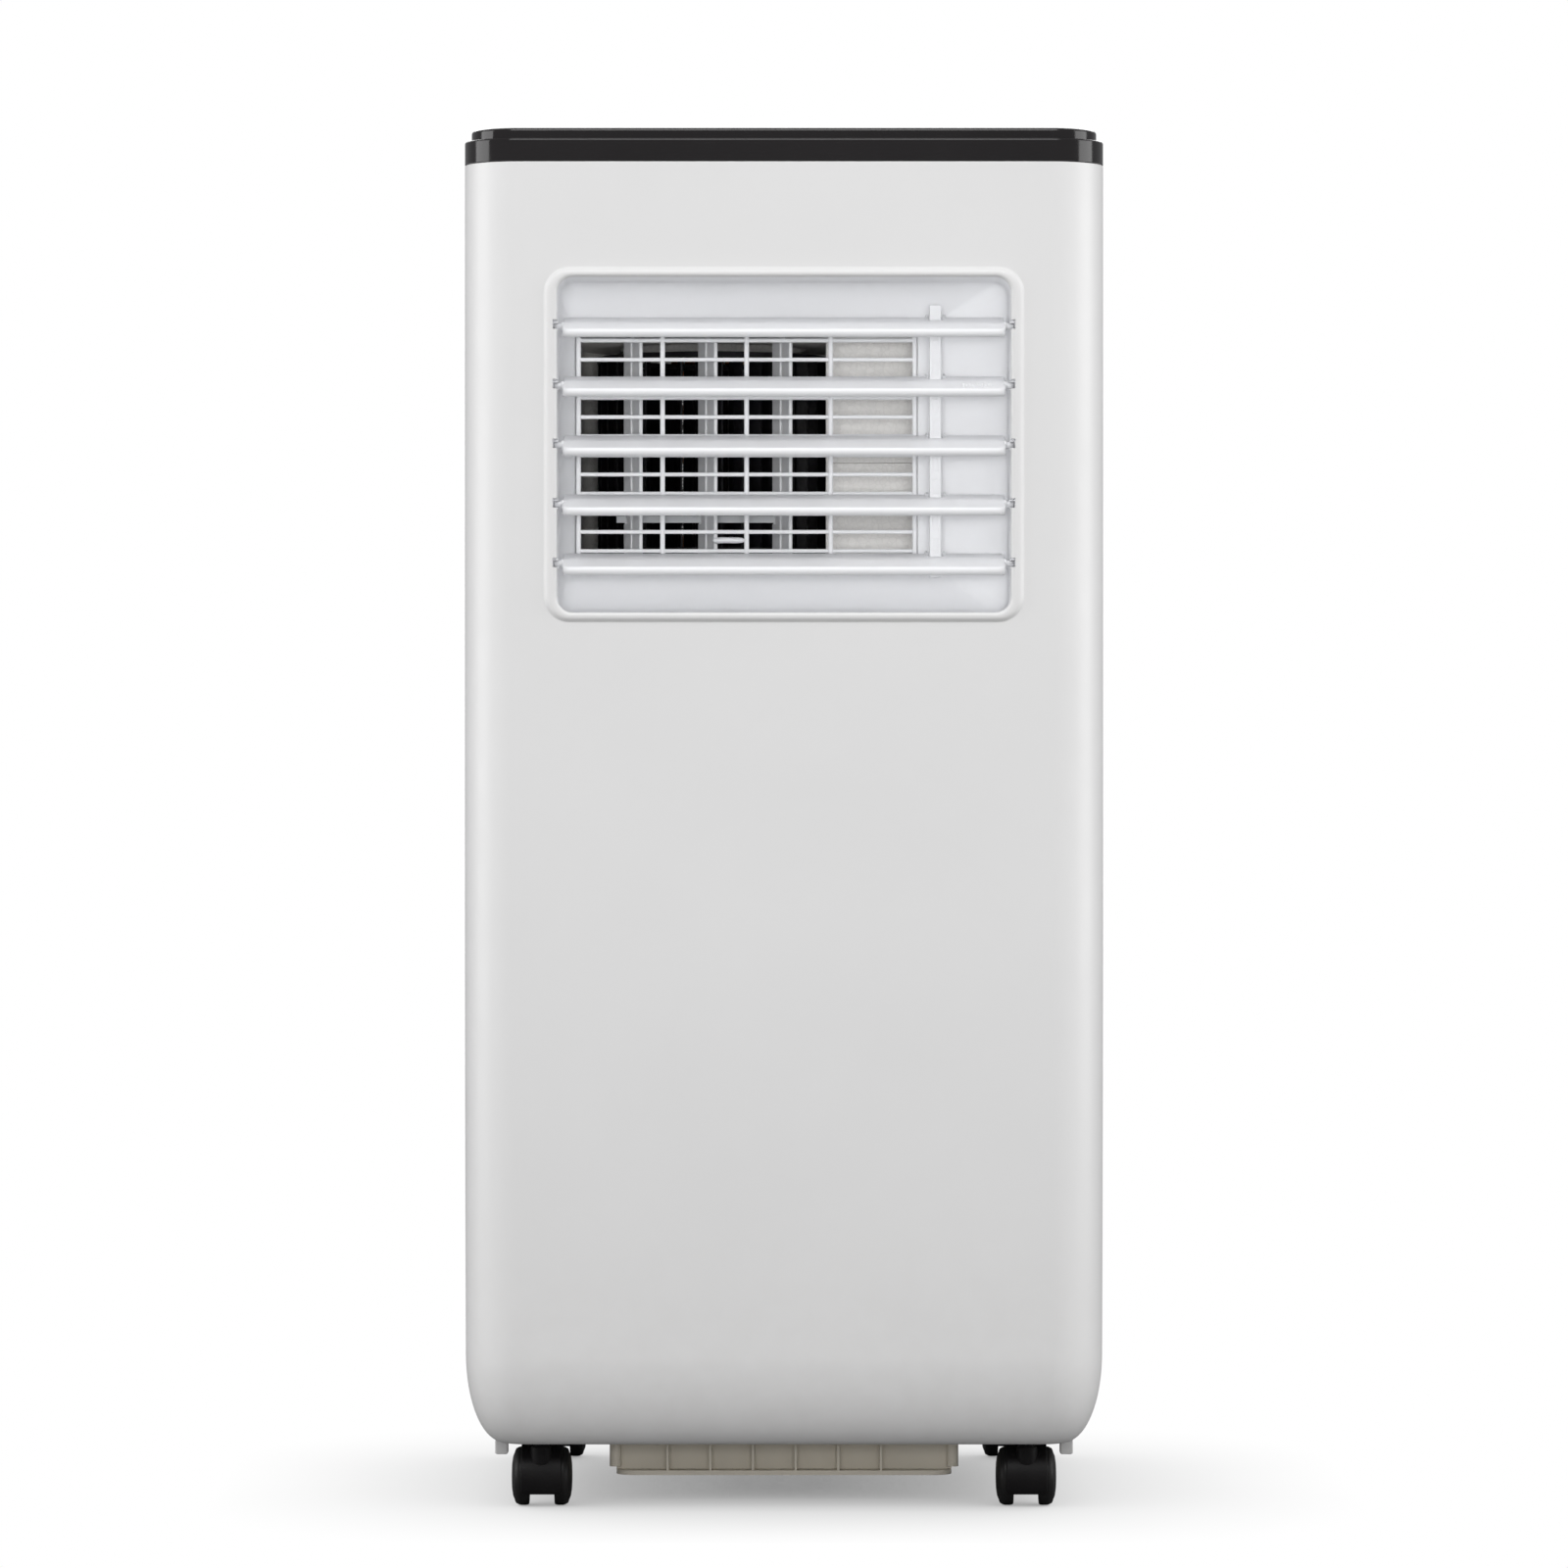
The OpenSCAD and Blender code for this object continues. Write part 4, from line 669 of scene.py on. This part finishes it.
# sockets for the louvre pins, open to the front through a notch in the bead
SOCKET, SOCKET_FORE, NOTCH_HALF = 1.65 * MM, 2.4 * MM, 2.4 * MM
SOCKET_RING = [(-SOCKET_FORE, -SOCKET), (SOCKET, -SOCKET), (SOCKET, SOCKET), (-SOCKET_FORE, SOCKET)]
SIDES = [(z, s, s * MOUTH_W / 2) for z in LOUVER_Z for s in (-1, 1)]
tools = []
for z, s, wall in SIDES:
    x0, x1 = sorted((wall - s * 1.5 * MM, wall + s * 2.4 * MM))
    tools.append(prism_x(SOCKET_RING, x0, x1, LOUVER_Y, z))
cut(outlet, tools)
tools = []
for z, s, wall in SIDES:
    x0, x1 = sorted((wall - s * 1.5 * MM, wall + s * 2.3 * MM))
    tools.append(block(x0, x1, FACE - 1 * MM, LOUVER_Y - 2 * MM, z - NOTCH_HALF, z + NOTCH_HALF, 0.2 * MM))
cut(outlet, tools)
cut(bead_piece, tools)
finish_piece(outlet, "casing", "outlet_white", ["outlet_frame"], limit=40)
finish_piece(bead_piece, "casing", "shell", limit=40)


# ---------------------------------------------------------------- outlet grille
def bar(p, q, w, d, upright):
    """Bar from p to q with a rounded section, w across and d deep along Y."""
    section = outline(w, d, min(w, d) * 0.42, 4)
    ends = []
    for x, y, z in (p, q):
        ends.append([(x + a, y + b, z) if upright else (x, y + b, z + a) for a, b in section])
    return loft(ends)


UPRIGHTS, ROWS = 5, 12
END = 0.4 * MM
DUCT_LEFT, DUCT_RIGHT = DUCT_X - DUCT_W / 2, DUCT_X + DUCT_W / 2
DUCT_LOW, DUCT_HIGH = DUCT_Z - DUCT_H / 2, DUCT_Z + DUCT_H / 2
bars = []
gy = DUCT_Y + 2 * MM
y = gy - 0.2 * MM
for c in range(UPRIGHTS):
    x = DUCT_LEFT + 1.6 * MM + c * (DUCT_W - 3.2 * MM) / (UPRIGHTS - 1)
    bars.append(bar((x, y, DUCT_LOW + END), (x, y, DUCT_HIGH - END), 2.5 * MM, 3.5 * MM, True))
row = (DUCT_H - 6.4 * MM) / (ROWS - 1)
y = gy + 0.25 * MM
for i in range(ROWS):
    z = DUCT_LOW + 2 * MM + i * row + 1.2 * MM
    bars.append(bar((DUCT_LEFT + END, y, z), (DUCT_RIGHT - END, y, z), 2.0 * MM, 3.2 * MM, False))
piece("grille_bars", bars, "casing", "outlet_white", ["outlet_grille"])

# ---------------------------------------------------------------- louvres
FORE, AFT, NOSE, TAIL = 16.5 * MM, 18.5 * MM, 2.3 * MM, 1.0 * MM
LOUVER_W = 225 * MM
TILT = 16
link_lo, link_hi, link_mid = middle("louver_link")
LINK_X = link_mid.x
ARM = AFT - 2 * MM
GRIP_LOUVER, GRIP_PITCH = 1, 3.2 * MM
BLADE_END = ((0.0, 0.72), (0.12, 0.9), (0.35, 0.98), (0.8, 1), (1.4, 1), (2.2, 1), (3.2, 1))


def blade_ring(x, fore, aft, thin):
    nose, tail = NOSE * thin, TAIL * thin
    pts = []
    deep = nose * 0.8
    for a in range(90, 271, 20):
        t = math.radians(a)
        pts.append((x, -fore + deep + deep * math.cos(t), nose * math.sin(t)))
    for a in range(-90, 91, 30):
        t = math.radians(a)
        pts.append((x, aft - tail + tail * math.cos(t), tail * math.sin(t)))
    return pts


def louver_mesh(i):
    r = 3.2 * MM
    rings = []
    for d, thin in BLADE_END:
        back = r - math.sqrt(max(0.0, r * r - (r - d * MM) ** 2))
        rings.append(blade_ring(-LOUVER_W / 2 + d * MM, FORE - back, AFT - back * 0.5, thin))
    rings += [[(-x, y, z) for x, y, z in ring] for ring in reversed(rings)]
    obj = raw("louver_blade_%d" % (i + 1), [loft(rings)])
    gap, half = 3.7 * MM, LOUVER_W / 2
    cut(obj, [block(LINK_X - gap, LINK_X + gap, ARM - 6.6 * MM, AFT + 2 * MM, -4 * MM, 4 * MM, 0.3 * MM)])
    extra = [moved(rod(0.9 * MM, 9 * MM, 16), at(LINK_X, ARM, 0) @ turned(90, "Y"))]
    for s in (-1, 1):
        x0, x1 = LINK_X + (s * 4.5 - 0.7) * MM, LINK_X + (s * 4.5 + 0.7) * MM
        extra.append(block(x0, x1, ARM - 3.2 * MM, AFT - 0.4 * MM, -1.5 * MM, 2.3 * MM, 0.35 * MM))
        for part, x in ((rod(1.6 * MM, 9.6 * MM, 24), MOUTH_W / 2 - 2.7 * MM),
                        (rod(2.4 * MM, 1.7 * MM, 28, 0.2), half + 0.2 * MM),
                        (rod(1.9 * MM, 3.4 * MM, 24, 0.3), half - 1.0 * MM)):
            extra.append(moved(part, at(s * x, 0, 0) @ turned(90, "Y")))
    if i == GRIP_LOUVER:
        dome = [(0.05, 0.0), (0.62, 0.0), (0.58, 0.3), (0.4, 0.52), (0.05, 0.62)]
        dot = lathe([(r * MM, h * MM) for r, h in dome], 14)
        for c in range(5):
            for k in range(3):
                x = LINK_X + 14 * MM + (c + (k % 2) / 2) * GRIP_PITCH
                y = -11 * MM + k * GRIP_PITCH
                top = NOSE + (TAIL - NOSE) * (y + FORE) / (FORE + AFT)
                extra.append(moved(dot, at(x, y, top - 0.12 * MM)))
    join(obj, extra)
    obj.data.transform(at(0, LOUVER_Y, LOUVER_Z[i]) @ turned(TILT, "X"))
    name = "louver_%d" % (i + 1)
    return finish_piece(obj, name, "outlet_white", [name])


for i in range(5):
    louver_mesh(i)

(x0, y0, z0), (x1, y1, z1) = link_lo, link_hi
link = raw("louver_link_bar", [block(x0, x1, y0, y1, z0, z1, 0.5 * MM)])
SLOT_W, SLOT_H, SLOT_DEEP = 3 * MM, 7.2 * MM, 0.9 * MM
slots = []
for pin_z in LOUVER_Z[:4]:
    for k in (-1, 1):
        z = pin_z - 15 * MM + k * 5.5 * MM
        slots.append(block(LINK_X - SLOT_W / 2, LINK_X + SLOT_W / 2, y0 - 1 * MM, y0 + SLOT_DEEP,
                           z - SLOT_H / 2, z + SLOT_H / 2, 0.2 * MM))
cut(link, slots)
finish_piece(link, "louver_link", "outlet_white", ["louver_link"])

# ---------------------------------------------------------------- vanes behind the grille
VANE_TURN = 18
VANE_HALF, VANE_T, VANE_TAIL = 15 * MM, 1.0 * MM, 0.66 * MM
TAB_VANE, TAB_W, TAB_D = 2, 17, 11
TAB_LEVELS = ((-1.45, 3.2), (-1.2, 1.3), (-0.6, 0.25), (0, 0), (0.6, 0.25), (1.2, 1.3), (1.45, 3.2))


def vane_section():
    """Outline of a vane, thicker at its front edge."""
    pts = []
    for t, edge, arc in ((VANE_T, VANE_T - VANE_HALF, range(-90, 91, 20)),
                         (VANE_TAIL, VANE_HALF - VANE_TAIL, range(90, 271, 30))):
        for a in arc:
            pts.append((t * math.sin(math.radians(a)), edge - t * math.cos(math.radians(a))))
    return pts


for i in range(1, 4):
    vx, vy, _ = pivot("vane_%d_turn" % i)
    z0, z1 = DUCT_LOW + 2 * MM, DUCT_HIGH - 2 * MM
    levels = ((z0, 0.9), (z0 + 0.3 * MM, 1.0), (z1 - 0.3 * MM, 1.0), (z1, 0.9))
    obj = raw("vane_blade_%d" % i, [loft([[(x * s, y, z) for x, y in vane_section()] for z, s in levels])])
    lz = middle("vane_link")[2].z
    cut(obj, [block(-3 * MM, 3 * MM, 9.1 * MM, 20 * MM, lz - 2.5 * MM, lz + 2.5 * MM, 0.2 * MM)])
    extra = [moved(rod(0.8 * MM, 7 * MM, 14), at(0, 12.5 * MM, lz)),
             moved(rod(1.5 * MM, DUCT_H + 3.6 * MM, 20), at(0, 0, DUCT_Z))]
    for z in (z0 - 0.6 * MM, z1 + 0.6 * MM):
        extra.append(moved(rod(2.6 * MM, 1.3 * MM, 24, 0.2), at(0, 0, z)))
    if i == TAB_VANE:
        tab_z = DUCT_LOW + 8.3 * MM
        low, high = tab_z - 1.1 * MM, tab_z + 1.1 * MM
        extra.append(block(-1.3 * MM, 1.3 * MM, -34 * MM, -12.5 * MM, low, high, 0.5 * MM))
        lens = []
        for dz, s in TAB_LEVELS:
            ring = outline((TAB_W - 2 * s) * MM, (TAB_D - 2 * s) * MM, max(1.6, 5.2 - s) * MM, 8)
            lens.append([(x, -36.5 * MM + y, tab_z + dz * MM) for x, y in ring])
        extra.append(loft(lens))
    join(obj, extra)
    obj.data.transform(at(vx, vy, 0) @ turned(VANE_TURN, "Z"))
    finish_piece(obj, "vane_%d" % i, "outlet_white", ["vane_%d" % i])

# ---------------------------------------------------------------- casters
WHEEL_R, TRAIL = 15 * MM, 11 * MM
HUB = [(0.03, 14.4), (2.6, 14.5), (3.1, 14.1), (3.6, 14.5), (7.0, 14.35), (10.2, 13.9), (11.8, 13.3),
       (12.4, 12.9), (12.8, 13.0), (14.0, 12.5), (14.8, 11.8), (15.0, 11.0), (15.0, 8.2), (14.9, 7.3),
       (14.5, 6.6), (12.5, 6.5), (3.0, 6.5), (0.03, 6.5)]
BULGE, BULGE_FROM = 15.5 / 14.5, 12.45
HUB = [(r * MM, z * MM * (BULGE if z > BULGE_FROM else 1)) for r, z in HUB]
HOOD_STEPS, HOOD_FROM, HOOD_SPAN, HOOD_T, HOOD_W = 40, 150, 150, 1.4 * MM, 20.8
BOSS_R, WEB_W, WEB_LOW, WEB_HIGH = 9 * MM, 11.6 * MM, -8 * MM, 17 * MM
COLLAR_ROD, STEM_ROD = (5.5 * MM, 9.5 * MM), (4 * MM, 24 * MM)
WEB_LEVELS = ((-5.8, 0.5), (-5.4, 0.1), (-5.0, 0), (5.0, 0), (5.4, 0.1), (5.8, 0.5))
for k in range(4):
    cx, cy, _ = pivot("caster_%d_swivel" % (k + 1))
    axle = at(cx, cy + TRAIL, WHEEL_R) @ turned(90, "Y")
    wheels = [moved(lathe(HUB, 72), axle), moved(lathe([(r, -z) for r, z in HUB], 72), axle),
              moved(rod(2 * MM, 25 * MM, 20), axle)]
    name = "caster_wheels_%d" % (k + 1)
    piece("wheel_pair_%d" % (k + 1), wheels, name, "tread", [name], limit=50)
    r0 = WHEEL_R + 0.8 * MM
    arc = []
    for i in range(HOOD_STEPS + 1):
        u = i / HOOD_STEPS
        a = math.radians(HOOD_FROM + HOOD_SPAN * u)
        end = min(1.0, min(u, 1 - u) * HOOD_STEPS / 2)
        thick = HOOD_T * (0.55 + 0.45 * math.sqrt(end))
        wide = (HOOD_W - 1.6 * (1 - math.sqrt(end))) * MM
        sect = outline(wide, thick, thick * 0.42, 4)
        mid_r = r0 + thick / 2
        arc.append([((mid_r + b) * math.cos(a), (mid_r + b) * math.sin(a), p) for p, b in sect])
    frame_parts = [moved(loft(arc), axle), moved(rod(BOSS_R, WEB_W, 40, 0.06), axle)]
    web = []
    for x, s in WEB_LEVELS:
        ring = []
        for a in range(0, 360, 12):
            c, q = math.cos(math.radians(a)), math.sin(math.radians(a))
            y = max(-2 * TRAIL + 0.4 * MM, (r0 + 0.4 * MM) * c)
            z = min(max((r0 + 0.4 * MM) * q, WEB_LOW), WEB_HIGH)
            ring.append((x * MM, y * (1 - s * 0.03), z * (1 - s * 0.03)))
        web.append(ring)
    frame_parts.append(moved(loft(web), at(cx, cy + TRAIL, WHEEL_R)))
    frame_parts.append(moved(rod(*COLLAR_ROD, 32), at(cx, cy, 26.7 * MM)))
    frame_parts.append(moved(rod(*STEM_ROD, 24), at(cx, cy, 42 * MM)))
    name = "caster_frame_%d" % (k + 1)
    piece("caster_hood_%d" % (k + 1), frame_parts, name, "caster_black", [name], limit=45)

# ---------------------------------------------------------------- filter net
net_lo, net_hi, net_mid = middle("air_filter")
PITCH, THREAD, OVER, NET_IN = 1.9 * MM, 0.28 * MM, 0.3 * MM, 3 * MM
left, right = net_lo.x + NET_IN, net_hi.x - NET_IN
low, high = net_lo.z + NET_IN, net_hi.z - NET_IN
ny = net_mid.y
strands = []
x = net_lo.x + 4 * MM
while x < right:
    strands.append(loft([[(x + a, ny + b, z) for a, b in circle(THREAD, 4)] for z in (low, high)]))
    x += PITCH
z = net_lo.z + 4 * MM
while z < high:
    strands.append(loft([[(q, ny + OVER + b, z + a) for a, b in circle(THREAD, 4)] for q in (left, right)]))
    z += PITCH
piece("filter_net", strands, "air_filter", "filter")

# ---------------------------------------------------------------- floor, lights, world
SHADE_REACH, SHADE_POWER, SHADE_LOW, FLOOR_BOUNCE = 0.15, 0.5, 0.2, 0.22
FLOOR_R, FLOOR_Z, FLOOR_SIDES = 6, -0.2 * MM, 64
BACKDROP, AMBIENT, AMBIENT_RGBA = 1.0, 0.32, (0.98, 0.98, 1, 1)


def stage_floor():
    """Pale floor: bright to the camera and shaded where the machine stands close above it."""
    mat = bpy.data.materials.new("studio_floor")
    mat.use_nodes = True
    t = mat.node_tree
    t.nodes.clear()
    new, link = t.nodes.new, t.links.new
    near = new("ShaderNodeAmbientOcclusion")
    near.samples = 48
    near.inputs["Distance"].default_value = SHADE_REACH
    soft = new("ShaderNodeMath")
    soft.operation = "POWER"
    soft.inputs[1].default_value = SHADE_POWER
    link(near.outputs["AO"], soft.inputs[0])
    lift = new("ShaderNodeMapRange")
    lift.inputs["To Min"].default_value = SHADE_LOW
    link(soft.outputs[0], lift.inputs["Value"])
    glow = new("ShaderNodeEmission")
    link(lift.outputs["Result"], glow.inputs["Strength"])
    unseen = new("ShaderNodeBsdfDiffuse")
    unseen.inputs["Color"].default_value = (FLOOR_BOUNCE, FLOOR_BOUNCE, FLOOR_BOUNCE, 1)
    path = new("ShaderNodeLightPath")
    mix = new("ShaderNodeMixShader")
    link(path.outputs["Is Camera Ray"], mix.inputs["Fac"])
    link(unseen.outputs[0], mix.inputs[1])
    link(glow.outputs[0], mix.inputs[2])
    out = new("ShaderNodeOutputMaterial")
    link(mix.outputs[0], out.inputs["Surface"])
    me = bpy.data.meshes.new("floor")
    ring = [(a, b, FLOOR_Z) for a, b in circle(FLOOR_R, FLOOR_SIDES)]
    me.from_pydata(ring, [], [tuple(range(FLOOR_SIDES))])
    me.materials.append(mat)
    obj = bpy.data.objects.new("floor", me)
    bpy.context.scene.collection.objects.link(obj)


def area(name, place, aim, w, h, power, glossy=True, only=()):
    """Soft box that the camera doesn't see; with only, it lights just those objects."""
    data = bpy.data.lights.new(name, "AREA")
    data.shape, data.size, data.size_y = "RECTANGLE", w, h
    data.energy = power
    obj = bpy.data.objects.new(name, data)
    obj.location = place
    obj.rotation_euler = (Vector(aim) - Vector(place)).to_track_quat("-Z", "Y").to_euler()
    obj.visible_camera = False
    obj.visible_glossy = glossy
    if only:
        lit = bpy.data.collections.new(name + "_lights")
        for target in only:
            lit.objects.link(target)
        obj.light_linking.receiver_collection = lit
    bpy.context.scene.collection.objects.link(obj)


stage_floor()
world = bpy.data.worlds.new("studio")
bpy.context.scene.world = world
world.use_nodes = True
wt = world.node_tree
wt.nodes.clear()
plain = wt.nodes.new("ShaderNodeBackground")
plain.inputs["Color"].default_value = (1, 1, 1, 1)
plain.inputs["Strength"].default_value = BACKDROP
soft = wt.nodes.new("ShaderNodeBackground")
soft.inputs["Color"].default_value = AMBIENT_RGBA
soft.inputs["Strength"].default_value = AMBIENT
path = wt.nodes.new("ShaderNodeLightPath")
mix = wt.nodes.new("ShaderNodeMixShader")
wout = wt.nodes.new("ShaderNodeOutputWorld")
wt.links.new(path.outputs["Is Camera Ray"], mix.inputs["Fac"])
wt.links.new(soft.outputs[0], mix.inputs[1])
wt.links.new(plain.outputs[0], mix.inputs[2])
wt.links.new(mix.outputs[0], wout.inputs["Surface"])

CENTRE, OUTLET = (0, 0, 0.36), (0, 0, 0.54)
area("key_over_front", (0, -3.0, 3.2), CENTRE, 2.6, 1.8, 86)
area("front_fill", (0, -3.9, 0.5), CENTRE, 1.6, 1.0, 30, False)
area("side_left", (-2.1, -0.35, 0.75), CENTRE, 1.3, 1.7, 21)
area("side_right", (2.1, -0.35, 0.75), CENTRE, 1.3, 1.7, 21)
area("back_over", (0, 2.2, 2.0), CENTRE, 2.2, 1.2, 40)
INSIDE_NAMES = ("outlet_tub", "grille_bars", "louver_link_bar", "foam_volute_upper", "foam_volute_lower",
                "vane_link")
INSIDE = [o for o in bpy.data.objects if o.name.startswith("vane_blade") or o.name in INSIDE_NAMES]
area("outlet_fill", (0, -3.6, 0.42), OUTLET, 0.9, 0.5, 40, False, INSIDE)

# ---------------------------------------------------------------- camera
LENS, SENSOR, FAR, EYE = 153.6, 36, 50, (0, -3.558, 0.371)
cam_data = bpy.data.cameras.new("camera")
cam_data.lens = LENS
cam_data.sensor_width = SENSOR
cam_data.clip_end = FAR
cam = bpy.data.objects.new("camera", cam_data)
cam.location = EYE
cam.rotation_euler = (math.radians(90), 0, 0)
bpy.context.scene.collection.objects.link(cam)
bpy.context.scene.camera = cam
bpy.context.scene.view_settings.view_transform = "Standard"
bpy.context.scene.view_settings.look = "None"
